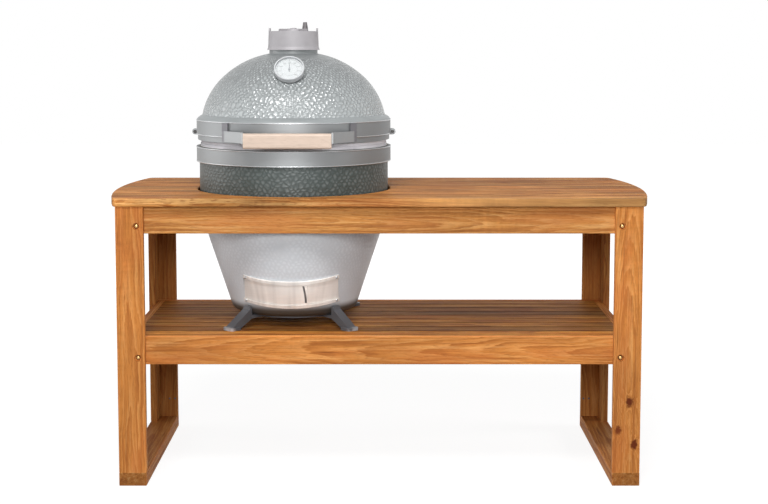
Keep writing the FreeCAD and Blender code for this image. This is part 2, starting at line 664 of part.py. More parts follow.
def make_base():
    """The ceramic bowl: upright at the rim, bellied, then a straight taper to a flat floor,
    with the draft window through its wall and a flat seat for the draft frame."""
    bowl = spin("bowl", [
        ("0", "stand_height"),
        (cone_radius("stand_height"), "stand_height"),
        (BELLY_END, BELLY_END_HEIGHT),
        ("base_radius", "belly_height", "belly_curve", 1),
        ("base_radius", "base_rim_height"),
        ("base_radius - base_wall", "base_rim_height"),
        ("base_radius - base_wall", "belly_height"),
        (f"{BELLY_END} - base_wall * cos(base_taper)", f"{BELLY_END_HEIGHT} + base_wall * sin(base_taper)",
         "belly_curve - base_wall", -1),
        (cone_radius(FLOOR_TOP, "base_wall"), FLOOR_TOP),
        ("0", FLOOR_TOP),
    ])
    corner = number(cone_radius("stand_height"))
    ease(bowl, "Fillet", "base_corner_round",
         lambda edge: edge.Curve.TypeId == "Part::GeomCircle" and same(edge.Curve.Radius, corner)
         and same(edge.BoundBox.ZMin, number("stand_height")))
    seat = spin("draft_seat", [
        (DRAFT_SEAT, "-draft_frame_height / 2 - draft_fit"),
        (f"{DRAFT_SEAT} + base_wall", "-draft_frame_height / 2 - draft_fit"),
        (f"{DRAFT_SEAT} + base_wall", "draft_frame_height / 2 + draft_fit"),
        (DRAFT_SEAT, "draft_frame_height / 2 + draft_fit"),
    ])
    tilt_to_slope(seat, False)
    reach = new_body("seat_reach")
    plan = sketch_on(reach, "XY_Plane")
    half_seat = f"(({DRAFT_SEAT} + draft_fit + draft_sheet + draft_rail) * sin(draft_frame_angle / 2) + draft_fit)"
    rectangle(plan, f"-{half_seat}", "-2 * base_radius", half_seat, "0")
    pad(reach, plan, BELLY_END_HEIGHT)
    front_seat = document.addObject("Part::Common", "front_seat")
    front_seat.Base, front_seat.Tool = seat, reach
    seated = joined("Cut", "seated_bowl", bowl, front_seat)
    window = new_body("base_window")
    face = sketch_on(window, "XZ_Plane", f"{DRAFT_SEAT} - 2 * base_wall")
    half, tall = f"({DRAFT_WINDOW} / 2)", "(draft_window_height / 2)"
    rectangle(face, f"-{half}", f"-{tall}", half, tall)
    pad(window, face, "3 * base_wall")
    tilt_to_slope(window, False)
    on_grill(joined("Cut", "base", seated, window), "base_shell")


def make_firebox():
    """The liner that holds the charcoal: a tapered pot with a ledge for the grate, an ash space
    below the ledge and an arched mouth behind the draft window."""
    low_radius = cone_radius(FLOOR_TOP, "base_wall + firebox_gap")
    slope = f"((firebox_radius - {low_radius}) / firebox_height)"

    def inside(height):
        return f"({low_radius} + ({height} - {FLOOR_TOP}) * {slope} - firebox_wall)"

    ledge_low = f"({FLOOR_TOP} + ash_space_height)"
    pot = spin("firebox", [
        (low_radius, FLOOR_TOP),
        ("firebox_radius", FIREBOX_TOP),
        ("firebox_radius - firebox_wall", FIREBOX_TOP),
        (inside(LEDGE_TOP), LEDGE_TOP),
        ("ledge_radius", LEDGE_TOP),
        ("ledge_radius", ledge_low),
        (inside(ledge_low), ledge_low),
        (inside(FLOOR_TOP), FLOOR_TOP),
    ])
    mouth = sketch_on(pot, "XZ_Plane")
    half, spring = f"({DRAFT_WINDOW} / 2)", f"({FLOOR_TOP} + mouth_height)"
    outline(mouth, [
        (f"-{half}", FLOOR_TOP),
        (half, FLOOR_TOP),
        (half, spring),
        (f"-{half}", spring, "mouth_curve", 1),
    ])
    cut(pot, mouth, Reversed=True)
    on_grill(pot)
    on_grill(box_ring("fire_ring", "firebox_radius - firebox_wall", "firebox_radius",
                      FIREBOX_TOP, FIRE_RING_TOP))


def make_grates():
    """The slotted charcoal grate, and the barred cooking grid on the fire ring."""
    grate = new_body("charcoal_grate")
    plan = sketch_on(grate, "XY_Plane", LEDGE_TOP)
    circle(plan, "0", "0", "grate_radius")
    pad(grate, plan, "grate_thickness")
    slot = sketch_on(grate, "XY_Plane", LEDGE_TOP)
    half = "grate_slot_width / 2"
    inner, outer = "grate_hub_radius", "(ledge_radius - grate_slot_width)"
    outline(slot, [
        (f"{inner} - {half}", "0", half, 1),
        (inner, f"-{half}", half, 1),
        (outer, f"-{half}"),
        (f"{outer} + {half}", "0", half, 1),
        (outer, half, half, 1),
        (inner, half),
    ])
    first = cut(grate, slot, Reversed=True)
    polar(grate, first, "grate_slot_count")
    on_grill(grate)

    grid = new_body("cooking_grid")
    disc = sketch_on(grid, "XY_Plane", FIRE_RING_TOP)
    circle(disc, "0", "0", "grid_radius")
    pad(grid, disc, "grid_thickness")
    slots = sketch_on(grid, "XY_Plane", FIRE_RING_TOP)
    per_side = int(number("(grid_radius - grid_rim) / grid_pitch"))
    for step in range(-per_side, per_side + 1):
        middle = f"{step} * grid_pitch"
        widest = f"({abs(step)} * grid_pitch + grid_slot_width / 2)"
        half_long = f"sqrt(pow(grid_radius - grid_rim; 2) - pow({widest}; 2))"
        if number(f"grid_radius - grid_rim - {widest}") > number("grid_rim") / 4:
            rectangle(slots, f"{middle} - grid_slot_width / 2", f"-{half_long}",
                      f"{middle} + grid_slot_width / 2", half_long)
    cut(grid, slots, Reversed=True)
    on_grill(grid)


def make_gaskets():
    """The two felt rings that meet at the seam."""
    on_grill(box_ring("base_gasket", "gasket_inner", "gasket_outer", "base_rim_height", SEAM))
    on_grill(box_ring("lid_gasket", "gasket_inner", "lid_radius - lid_gap", f"{SEAM} + lid_gap", LID_RIM))


LOWER_BAND_TOP = "(base_rim_height - lower_band_drop)"
LOWER_BAND_LOW = f"({LOWER_BAND_TOP} - lower_band_height)"
UPPER_BAND_LOW = f"({LID_RIM} + upper_band_rise)"
UPPER_BAND_TOP = f"({UPPER_BAND_LOW} + upper_band_height)"
STEP_TOP = f"({UPPER_BAND_LOW} + upper_band_step)"
EAR_MIDDLE = f"({STEP_TOP} + ear_rise)"


def make_bands():
    """The hoops: channels that stand off the ceramic and bear on it with their flanges. The upper
    one is drawn in below, and has clamp ears with a bolt at each side."""
    inner = "(base_radius + band_fit)"
    on_grill(spin("lower_band", [
        (inner, LOWER_BAND_LOW),
        ("lower_band_radius", LOWER_BAND_LOW),
        ("lower_band_radius", LOWER_BAND_TOP),
        (inner, LOWER_BAND_TOP),
        (inner, f"{LOWER_BAND_TOP} - band_wall"),
        ("lower_band_radius - band_wall", f"{LOWER_BAND_TOP} - band_wall"),
        ("lower_band_radius - band_wall", f"{LOWER_BAND_LOW} + band_wall"),
        (inner, f"{LOWER_BAND_LOW} + band_wall"),
    ]))
    inner = "(lid_radius + band_fit)"
    drawn_in = "(upper_band_radius - upper_band_step_in)"
    hoop = spin("hoop", [
        (inner, UPPER_BAND_LOW),
        (drawn_in, UPPER_BAND_LOW),
        (drawn_in, STEP_TOP),
        ("upper_band_radius", STEP_TOP),
        ("upper_band_radius", UPPER_BAND_TOP),
        (inner, UPPER_BAND_TOP),
        (inner, f"{UPPER_BAND_TOP} - band_wall"),
        ("upper_band_radius - band_wall", f"{UPPER_BAND_TOP} - band_wall"),
        ("upper_band_radius - band_wall", f"{STEP_TOP} + band_wall"),
        (f"{drawn_in} - band_wall", f"{STEP_TOP} + band_wall"),
        (f"{drawn_in} - band_wall", f"{UPPER_BAND_LOW} + band_wall"),
        (inner, f"{UPPER_BAND_LOW} + band_wall"),
    ])
    ears, bolts = [], []
    bolt_length = "(ear_gap + 2 * ear_thickness + 2 * clamp_head_height)"
    for side in (-1, 1):
        for face in ("-ear_gap / 2 - ear_thickness", "ear_gap / 2"):
            ear = new_body(f"ear_{len(ears) + 1}")
            shape = sketch_on(ear, "XZ_Plane", f"-({face}) - ear_thickness")
            root = f"{side} * (upper_band_radius - band_wall)"
            tip = f"{side} * (upper_band_radius + ear_length - ear_height / 2)"
            low, high = f"{EAR_MIDDLE} - ear_height / 2", f"{EAR_MIDDLE} + ear_height / 2"
            outline(shape, [
                (root, low),
                (tip, low),
                (f"{side} * (upper_band_radius + ear_length)", EAR_MIDDLE, "ear_height / 2", side),
                (tip, high, "ear_height / 2", side),
                (root, high),
            ])
            circle(shape, tip, EAR_MIDDLE, "clamp_bolt_diameter / 2 + bolt_play")
            pad(ear, shape, "ear_thickness")
            ears.append(ear)
        bolt = new_body(f"clamp_bolt_{side + 2}")
        middle = f"{side} * (upper_band_radius + ear_length - ear_height / 2)"
        shank = sketch_on(bolt, "XZ_Plane", f"-{bolt_length} / 2")
        circle(shank, middle, EAR_MIDDLE, "clamp_bolt_diameter / 2")
        pad(bolt, shank, bolt_length)
        for lift in (f"-{bolt_length} / 2", f"{bolt_length} / 2 - clamp_head_height"):
            head = sketch_on(bolt, "XZ_Plane", lift)
            corner = "(clamp_head_width / sqrt(3))"
            outline(head, [(f"{middle} + {corner} * cos({step} * 60)",
                            f"{EAR_MIDDLE} + {corner} * sin({step} * 60)") for step in range(6)])
            pad(bolt, head, "clamp_head_height")
        bolts.append(bolt)
    on_grill(joined("MultiFuse", "hoop_with_ears", hoop, *ears), "upper_band")
    on_grill(joined("Compound", "clamps", *bolts), "band_clamp_bolts")


def wall_plate(body, radius, low, high, angle):
    """A plate that follows a hoop at the back of the grill."""
    profile = sketch_on(body, "YZ_Plane")
    rectangle(profile, f"{radius} + handle_fit", low, f"{radius} + handle_fit + hinge_sheet", high)
    turn(body, profile, angle, Midplane=True)


def cheeks(body, inner_face, corners):
    """A pair of cheeks, mirrored left and right, bored for the hinge pin."""
    for start in (inner_face, f"-({inner_face}) - hinge_sheet"):
        shape = sketch_on(body, "YZ_Plane", start)
        outline(shape, corners)
        circle(shape, "hinge_reach", SEAM, "hinge_pin_diameter / 2 + hinge_pin_play")
        pad(body, shape, "hinge_sheet")


def make_hinge():
    """The back hinge: a bracket on the lower hoop, arms on the upper hoop, and one pin."""
    pin_back = "(hinge_reach + hinge_boss_radius)"
    bracket = new_body("hinge_bracket")
    spread = "(2 * asin(hinge_width / 2 / lower_band_radius))"
    low, high = f"{LOWER_BAND_LOW} + band_wall", f"{LOWER_BAND_TOP} - band_wall"
    wall_plate(bracket, "lower_band_radius", low, high, spread)
    root = "lower_band_radius"
    cheeks(bracket, "hinge_width / 2 - hinge_sheet", [
        (root, low),
        ("hinge_reach", low),
        (pin_back, f"{SEAM} - hinge_boss_radius"),
        (pin_back, SEAM),
        ("hinge_reach", f"{SEAM} + hinge_boss_radius", "hinge_boss_radius", 1),
        ("hinge_reach - hinge_boss_radius", SEAM, "hinge_boss_radius", 1),
        ("hinge_reach - hinge_boss_radius", high),
        (root, high),
    ])
    on_grill(bracket)

    arms = new_body("hinge_arms")
    inner_face = "hinge_width / 2 - 2 * hinge_sheet - hinge_side_gap"
    spread = f"(2 * asin(({inner_face} + hinge_sheet) / upper_band_radius))"
    low, high = f"{STEP_TOP} + band_wall", f"{UPPER_BAND_TOP} - band_wall"
    wall_plate(arms, "upper_band_radius", low, high, spread)
    root = "upper_band_radius"
    cheeks(arms, inner_face, [
        (root, low),
        ("hinge_reach - hinge_boss_radius", f"{SEAM} + hinge_boss_radius"),
        ("hinge_reach - hinge_boss_radius", SEAM),
        ("hinge_reach", f"{SEAM} - hinge_boss_radius", "hinge_boss_radius", 1),
        (pin_back, SEAM, "hinge_boss_radius", 1),
        (pin_back, f"{SEAM} + hinge_boss_radius"),
        ("hinge_reach - hinge_boss_radius / 2", high),
        (root, high),
    ])
    on_grill(arms)

    pin = new_body("hinge_pin")
    half = "(hinge_width / 2)"
    shank = sketch_on(pin, "YZ_Plane", f"-{half}")
    circle(shank, "hinge_reach", SEAM, "hinge_pin_diameter / 2")
    pad(pin, shank, f"2 * {half}")
    for start in (f"-{half} - pin_head_length", half):
        head = sketch_on(pin, "YZ_Plane", start)
        circle(head, "hinge_reach", SEAM, "pin_head_radius")
        pad(pin, head, "pin_head_length")
    on_grill(pin)


SHOULDER_CENTRE = "(lid_radius - shoulder_curve)"
CROWN_CENTRE = f"({SHOULDER_CENTRE} - (crown_curve - shoulder_curve) * cos(shoulder_angle))"
CROWN_CENTRE_HEIGHT = f"({LID_SPRING} - (crown_curve - shoulder_curve) * sin(shoulder_angle))"


def shoulder_point(inset):
    """Where the shoulder's arc meets the crown's, drawn in by a wall thickness."""
    reach = f"(shoulder_curve - {inset})"
    return (f"{SHOULDER_CENTRE} + {reach} * cos(shoulder_angle)",
            f"{LID_SPRING} + {reach} * sin(shoulder_angle)")


def crown_height(radius, inset="0"):
    """The crown's height at a radius."""
    return (f"({CROWN_CENTRE_HEIGHT} + sqrt(pow(crown_curve - ({inset}); 2)"
            f" - pow({radius} - {CROWN_CENTRE}; 2)))")


DIAL_REACH = f"({CROWN_CENTRE} + sqrt(pow(crown_curve; 2) - pow(dial_height - {CROWN_CENTRE_HEIGHT}; 2)))"


def aim_dial(thing, on_shelf):
    """Point a piece that is drawn on its own upright axis out of the dome, as the dial looks."""
    offset = ("-cutout_offset", f"-{DIAL_REACH}", "dial_height")
    if on_shelf:
        offset = (offset[0], offset[1], "shelf_height + dial_height")
    else:
        offset = ("0", offset[1], offset[2])
    place(thing, *offset, turn=FreeCAD.Rotation(ALONG_X, number("90 - dial_tilt")))
    bind(thing, "Placement.Rotation.Angle", "90 - dial_tilt")


def make_dome():
    """The ceramic dome: an upright skirt, a shoulder arc, a flatter crown arc and a neck, with a
    boss and a hole for the thermometer."""
    outer, inner = shoulder_point("0"), shoulder_point("lid_wall")
    shell = spin("dome_shell", [
        ("lid_radius", LID_RIM),
        ("lid_radius", LID_SPRING),
        (outer[0], outer[1], "shoulder_curve", 1),
        ("neck_radius", crown_height("neck_radius"), "crown_curve", 1),
        ("neck_radius", "neck_height"),
        ("neck_bore", "neck_height"),
        ("neck_bore", crown_height("neck_bore", "lid_wall")),
        (inner[0], inner[1], "crown_curve - lid_wall", -1),
        ("lid_radius - lid_wall", LID_SPRING, "shoulder_curve - lid_wall", -1),
        ("lid_radius - lid_wall", LID_RIM),
    ])
    boss = new_body("boss")
    foot = sketch_on(boss, "XY_Plane", "-lid_wall / 2")
    circle(foot, "0", "0", "dial_boss_radius")
    pad(boss, foot, "dial_boss_height + lid_wall / 2")
    aim_dial(boss, False)
    hole = new_body("probe_hole")
    mouth = sketch_on(hole, "XY_Plane", "-3 * lid_wall")
    circle(mouth, "0", "0", "probe_radius + probe_play")
    pad(hole, mouth, "6 * lid_wall")
    aim_dial(hole, False)
    raised = joined("MultiFuse", "bossed_dome", shell, boss)
    on_grill(joined("Cut", "dome_cut", raised, hole), "dome")


def make_thermometer():
    """A cup-shaped case with its dial plate, pin and probe, a glass held by the lip, and a needle
    on the pin."""
    plate = "(dial_boss_height + dial_plate_depth)"
    front = "(dial_boss_height + dial_depth)"
    wall = "(dial_radius - dial_wall)"
    needle_top = f"({plate} + needle_lift + 3 * needle_thickness)"
    case = spin("thermometer_case", [
        ("0", "dial_boss_height - probe_length"),
        ("probe_radius", "dial_boss_height - probe_length"),
        ("probe_radius", "dial_boss_height"),
        ("dial_radius", "dial_boss_height"),
        ("dial_radius", front),
        ("dial_radius - dial_lip", front),
        ("dial_radius - dial_lip", f"{front} - dial_wall"),
        (wall, f"{front} - dial_wall"),
        (wall, plate),
        ("pivot_radius", plate),
        ("pivot_radius", needle_top),
        ("0", needle_top),
    ])
    aim_dial(case, True)
    keep(case)
    glass = new_body("thermometer_glass")
    pane = sketch_on(glass, "XY_Plane", f"{front} - dial_wall - glass_fit - glass_thickness")
    circle(pane, "0", "0", f"{wall} - glass_fit")
    pad(glass, pane, "glass_thickness")
    aim_dial(glass, True)
    keep(glass)
    needle = new_body("thermometer_needle")
    hub = sketch_on(needle, "XY_Plane", f"{plate} + needle_lift")
    circle(hub, "0", "0", "needle_hub_radius")
    circle(hub, "0", "0", "pivot_radius + pivot_play")
    pad(needle, hub, "2 * needle_thickness")
    blade = sketch_on(needle, "XY_Plane", f"{plate} + needle_lift")
    root = "(sqrt(pow(needle_hub_radius; 2) - pow(needle_width / 2; 2)) - needle_thickness)"
    half = "needle_width / 2"
    outline(blade, [(f"-{half}", root), (half, root), ("0", "needle_length")])
    pad(needle, blade, "needle_thickness")
    tail = sketch_on(needle, "XY_Plane", f"{plate} + needle_lift")
    rectangle(tail, f"-{half}", "-needle_tail", half, f"-{root}")
    pad(needle, tail, "needle_thickness")
    aim_dial(needle, True)
    keep(needle)


def make_handle():
    """The wooden handle and its two bent arms, each with a foot plate on the upper hoop."""
    grip = new_body("handle_grip")
    section = sketch_on(grip, "YZ_Plane", "-grip_length / 2")
    rectangle(section, "-grip_front", "grip_rise", "grip_depth - grip_front", "grip_rise + grip_height")
    pad(grip, section, "grip_length")
    ease(grip, "Fillet", "grip_round", lambda edge: runs_along(edge, ALONG_X))
    on_grill(grip)
    seat = "(upper_band_radius + handle_fit)"
    tip_in, tip_out = "grip_length / 2 + handle_fit", "grip_length / 2 + handle_fit + handle_arm_thickness"
    near, far = "(handle_foot_angle - handle_foot_spread / 2)", "(handle_foot_angle + handle_foot_spread / 2)"
    chord = f"({seat} / cos(handle_foot_spread / 2))"

    def at(radius, angle):
        return f"{radius} * sin({angle})", f"-{radius} * cos({angle})"

    arms = []
    for side, sign in (("left", -1), ("right", 1)):
        arm = new_body(f"{side}_arm")
        plan = sketch_on(arm, "XY_Plane", "handle_arm_rise")
        corners = [
            at(chord, near),
            at(f"({seat} + handle_arm_thickness)", near),
            (tip_in, "grip_depth - grip_front + handle_arm_thickness"),
            (tip_in, "handle_arm_thickness - grip_front"),
            (tip_out, "handle_arm_thickness - grip_front"),
            (tip_out, "grip_depth - grip_front"),
            at(f"({seat} + handle_arm_thickness)", far),
            at(chord, far),
        ]
        outline(plan, [(f"{sign} * ({x})", y) for x, y in corners])
        pad(arm, plan, "handle_arm_height")
        foot = sketch_on(arm, "XY_Plane", f"{UPPER_BAND_TOP} - band_wall - handle_foot_height")
        corners = [at(chord, near), at(f"({seat} + handle_arm_thickness)", near),
                   at(f"({seat} + handle_arm_thickness)", far), at(chord, far)]
        outline(foot, [(f"{sign} * ({x})", y) for x, y in corners])
        pad(arm, foot, "handle_foot_height")
        arms.append(arm)
    on_grill(joined("Compound", "arm_pair", *arms), "handle_arms")


VENT_RIM = "(vent_height + vent_cap_height)"
VENT_PLATE = f"({VENT_RIM} - vent_plate_drop)"


def petals(body, lift, offset):
    """Openings shaped like wedges of a ring, repeated round the axis."""
    shape = sketch_on(body, "XY_Plane", lift)
    start, end = f"({offset} - petal_angle / 2)", f"({offset} + petal_angle / 2)"

    def at(radius, angle):
        return f"{radius} * cos({angle})", f"{radius} * sin({angle})"

    outline(shape, [
        at("petal_inner", start) + ("petal_inner", -1),
        at("petal_outer", start),
        at("petal_outer", end) + ("petal_outer", 1),
        at("petal_inner", end),
    ])
    first = cut(body, shape, Reversed=True)
    polar(body, first, "petal_count")


def make_vent():
    """The vent cap that sits on the neck, with openings in its plate, and the disc that turns on
    the cap's pin to close them."""
    inside = "(vent_rim_radius - vent_wall)"
    housing = spin("vent_housing", [
        ("neck_radius + vent_fit", "vent_height"),
        ("vent_flare_radius", "vent_height"),
        ("vent_waist_radius", "vent_height + vent_flare_height"),
        ("vent_rim_radius", f"{VENT_RIM} + vent_ear_height"),
        (inside, f"{VENT_RIM} + vent_ear_height"),
        (inside, VENT_PLATE),
        ("vent_pin_radius", VENT_PLATE),
        ("vent_pin_radius", f"{VENT_PLATE} + vent_pin_height"),
        ("0", f"{VENT_PLATE} + vent_pin_height"),
        ("0", f"{VENT_PLATE} - vent_wall"),
        (inside, f"{VENT_PLATE} - vent_wall"),
        (inside, "neck_height + vent_fit"),
        ("neck_radius + vent_fit", "neck_height + vent_fit"),
    ])
    notch = sketch_on(housing, "YZ_Plane")
    for near, far in (("vent_ear_width / 2", "vent_flare_radius"),
                      ("-vent_flare_radius", "-vent_ear_width / 2")):
        rectangle(notch, near, VENT_RIM, far, f"{VENT_RIM} + 2 * vent_ear_height")
    cut(housing, notch, SideType="Symmetric")
    petals(housing, f"{VENT_PLATE} - 2 * vent_wall", "0")
    on_grill(housing)

    disc_low = f"({VENT_PLATE} + vent_disc_gap)"
    bore = "(vent_pin_radius + vent_pin_play)"
    disc = spin("disc_plate", [
        (bore, disc_low),
        ("vent_disc_radius", disc_low),
        ("vent_disc_radius", f"{disc_low} + vent_disc_thickness"),
        ("vent_crown_radius", f"{disc_low} + vent_disc_thickness"),
        ("vent_crown_radius", f"{disc_low} + vent_crown_height - vent_disc_thickness / 2"),
        ("vent_crown_radius - vent_disc_thickness / 2", f"{disc_low} + vent_crown_height"),
        ("vent_hub_radius", f"{disc_low} + vent_crown_height"),
        ("vent_hub_radius", f"{disc_low} + vent_crown_height + vent_disc_thickness / 2"),
        (bore, f"{disc_low} + vent_crown_height + vent_disc_thickness / 2"),
    ])
    petals(disc, disc_low, "180 / petal_count")
    knob = new_body("knob")
    side = sketch_on(knob, "XZ_Plane")
    foot, top = f"{disc_low} + vent_crown_height / 2", f"{disc_low} + vent_crown_height + knob_height"
    outline(side, [("0", foot), ("knob_radius", foot), ("knob_tip_radius", top), ("0", top)])
    turn(knob, side)
    place(knob, "knob_offset")
    on_grill(joined("MultiFuse", "disc_with_knob", disc, knob), "vent_disc")


def make_draft():
    """The draft frame, a curved channel that lies on the base's slope, and the door that slides
    round in it. Both are drawn upright about the slope's own axis."""
    back = f"({DRAFT_SEAT} + draft_fit)"
    face = f"({back} + draft_sheet)"
    rail = f"({face} + draft_rail)"
    half = "(draft_frame_height / 2)"
    slot = f"({half} - draft_rail)"
    mouth = f"({half} - draft_lip_reach - draft_rail)"
    frame = new_body("draft_frame")
    section = sketch_on(frame, "YZ_Plane")
    profile = [
        (back, f"-{half}"),
        (f"{rail} + draft_lip", f"-{half}"),
        (f"{rail} + draft_lip", f"-{mouth}"),
        (rail, f"-{mouth}"),
        (rail, f"-{slot}"),
        (face, f"-{slot}"),
        (face, slot),
        (rail, slot),
        (rail, mouth),
        (f"{rail} + draft_lip", mouth),
        (f"{rail} + draft_lip", half),
        (back, half),
    ]
    outline(section, [(f"-({r})", z) for r, z in profile])
    turn(frame, section, "draft_frame_angle", Midplane=True)
    window = sketch_on(frame, "XZ_Plane")
    wide = f"({DRAFT_WINDOW} / 2)"
    rectangle(window, f"-{wide}", "-draft_window_height / 2", wide, "draft_window_height / 2")
    cut(frame, window, Reversed=True)
    tilt_to_slope(frame, True)
    keep(frame)

    door = new_body("draft_door")
    low, high = f"({face} + draft_fit)", f"({face} + draft_fit + draft_sheet)"
    section = sketch_on(door, "YZ_Plane")
    edge = f"({slot} - draft_fit)"
    rectangle(section, f"-{high}", f"-{edge}", f"-{low}", edge)
    turn(door, section, "draft_door_angle", Midplane=True)
    tab = sketch_on(door, "XY_Plane", "-tab_height / 2")
    start, end = "(draft_door_angle / 2 - tab_angle)", "(draft_door_angle / 2)"
    root, tip = f"({high} - draft_sheet / 2)", f"({high} + tab_reach)"
    corners = [(radius, angle) for radius, angle in ((root, start), (tip, start), (tip, end), (root, end))]
    outline(tab, [(f"{radius} * sin({angle})", f"-{radius} * cos({angle})") for radius, angle in corners])
    pad(door, tab, "tab_height")
    tilt_to_slope(door, True)
    keep(door)


def make_stand():
    """A flat ring under the base and four feet that cup its lower corner and splay outwards."""
    on_grill(box_ring("stand_ring", "ring_inner", "ring_outer", "stand_height - ring_thickness",
                      "stand_height"))
    cup_in = f"({cone_radius('foot_cup_height')} + foot_cup_gap)"
    cup_out = f"({cup_in} + foot_cup_thickness)"
    inner = "(ring_outer + foot_fit)"
    under = "(stand_height - foot_fit)"
    low = "(stand_height - ring_thickness)"
    side_view = [
        (inner, low),
        (cup_in, low),
        ("toe_radius - toe_length", "0"),
        ("toe_radius - foot_cup_thickness", "0"),
        ("toe_radius - foot_cup_thickness", "toe_thickness"),
        (cup_out, "foot_cup_height - foot_cup_round"),
        (cup_out, "foot_cup_height"),
        (cup_in, "foot_cup_height"),
        (cup_in, under),
        (inner, under),
    ]
    feet = (("back_right", 1, "foot_angle"), ("back_left", 1, "180 - foot_angle"),
            ("front_left", -1, "foot_angle"), ("front_right", -1, "180 - foot_angle"))
    for name, sign, angle in feet:
        foot = new_body(f"{name}_foot")
        profile = sketch_on(foot, "XZ_Plane")
        outline(profile, [(f"{sign} * ({r})", z) for r, z in side_view])
        pad(foot, profile, "foot_width", SideType="Symmetric")
        top = number("foot_cup_height")
        ease(foot, "Fillet", "foot_cup_round",
             lambda edge: runs_along(edge, ALONG_X) and same(edge.BoundBox.ZMin, top))
        toe = sketch_on(foot, "XY_Plane")
        half = "toe_width / 2"
        heel, tip = f"{sign} * (toe_radius - toe_length)", f"{sign} * toe_radius"
        shoulder = f"{sign} * (toe_radius - toe_round)"
        outline(toe, [
            (heel, f"-{half}"),
            (shoulder, f"-{half}"),
            (tip, f"toe_round - {half}", "toe_round", sign),
            (tip, f"{half} - toe_round"),
            (shoulder, half, "toe_round", sign),
            (heel, half),
        ])
        pad(foot, toe, "toe_thickness")
        place(foot, *SPOT, turn=FreeCAD.Rotation(UP, number(angle)))
        bind(foot, "Placement.Rotation.Angle", angle)
        keep(foot)


def write_parts():
    """Check every object, then write each sub-part to its file."""
    document.recompute()
    for thing in document.Objects:
        if {"Invalid", "Error"} & set(thing.State):
            raise RuntimeError(f"{thing.Name} failed: {thing.State}")
    os.makedirs("parts", exist_ok=True)
    for thing in finished:
        if thing.Shape.isNull() or not thing.Shape.isValid():
            raise RuntimeError(f"{thing.Label} has no sound shape")
    for thing in finished:
        thing.Shape.exportStep(f"parts/{thing.Label}.step")


make_top()
make_legs()
make_runners()
make_frame("top", "apron_height", APRON_LOW, "apron")
make_frame("shelf", "shelf_rail_height", SHELF_RAIL_LOW, "shelf_rail")
make_battens()
make_shelf()
make_bolts()
make_base()
make_firebox()
make_grates()
make_gaskets()
make_bands()
make_hinge()
make_dome()
make_thermometer()
make_handle()
make_vent()
make_draft()
make_stand()
write_parts()
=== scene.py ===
"""Finish and detail for a kamado grill in its hardwood table, laid out as an add-on and run as a script."""

import json
import math
import random

import bmesh
import bpy
from bpy.types import Operator, Panel, PropertyGroup, Scene
from mathutils import Matrix, Vector


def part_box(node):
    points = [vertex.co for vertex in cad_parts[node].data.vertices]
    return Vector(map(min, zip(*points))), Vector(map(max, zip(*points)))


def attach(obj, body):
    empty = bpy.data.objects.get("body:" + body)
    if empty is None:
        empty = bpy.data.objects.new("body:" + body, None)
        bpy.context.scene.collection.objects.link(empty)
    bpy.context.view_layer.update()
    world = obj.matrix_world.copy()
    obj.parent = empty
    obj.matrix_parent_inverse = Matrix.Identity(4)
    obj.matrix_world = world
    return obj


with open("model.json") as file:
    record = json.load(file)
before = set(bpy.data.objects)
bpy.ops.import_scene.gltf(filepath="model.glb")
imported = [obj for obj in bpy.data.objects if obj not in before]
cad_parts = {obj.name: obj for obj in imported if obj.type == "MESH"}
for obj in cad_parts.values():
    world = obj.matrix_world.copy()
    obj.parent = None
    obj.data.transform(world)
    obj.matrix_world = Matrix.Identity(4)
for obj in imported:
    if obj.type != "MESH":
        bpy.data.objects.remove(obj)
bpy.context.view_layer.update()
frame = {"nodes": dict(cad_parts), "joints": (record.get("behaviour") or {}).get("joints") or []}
NODES = frame["nodes"]
JOINTS = {joint["name"]: joint for joint in frame["joints"]}

# The grill's upright axis stands at this x on the middle line, and its two halves meet at this height.
GRILL_X, _, SEAM = JOINTS["lid_hinge"]["pos_m"]

bl_info = {
    "name": "Kamado grill table",
    "version": (1, 0, 0),
    "blender": (4, 5, 0),
    "location": "3D View > Sidebar > Grill Table",
    "description": "Paints and details a ceramic grill that stands in a hardwood table",
    "category": "Object",
}


# -------------------- settings that a user would change

def shade(red, green, blue):
    """The linear colour of a paint chart's 0 to 255 values."""
    def linear(value):
        value /= 255
        return value / 12.92 if value <= 0.04045 else ((value + 0.055) / 1.055) ** 2.4
    return tuple(linear(value) for value in (red, green, blue))


def tint(name, description, *chart):
    return bpy.props.FloatVectorProperty(
        name=name, description=description, default=shade(*chart), subtype="COLOR", size=3, min=0, max=1)


def amount(name, description, default, **kind):
    return bpy.props.FloatProperty(name=name, description=description, default=default, min=0, **kind)


def length(*about):
    return amount(*about, unit="LENGTH", precision=4)


def share(*about):
    return amount(*about, max=1, subtype="FACTOR")


def power(*about):
    return amount(*about, unit="POWER")


class TimberSettings(PropertyGroup):
    pale: tint("Pale wood", "Early wood between the rings", 232, 170, 104)
    warm: tint("Warm wood", "Main colour of the oiled boards", 204, 131, 64)
    deep: tint("Deep wood", "Late wood and streaks", 150, 84, 38)
    line: tint("Dark line", "Pores and joints", 88, 46, 20)
    ruddy: tint("Ruddy wood", "Redder patches", 188, 104, 52)
    knot: tint("Knots", "Heart of a knot", 104, 46, 20)
    ring: length("Ring width", "Distance from one growth ring to the next", 0.0068)
    stave: length("Stave width", "Width of the strips that the top is glued from", 0.088)
    gloss: share("Roughness", "Roughness of the oiled surface", 0.6)


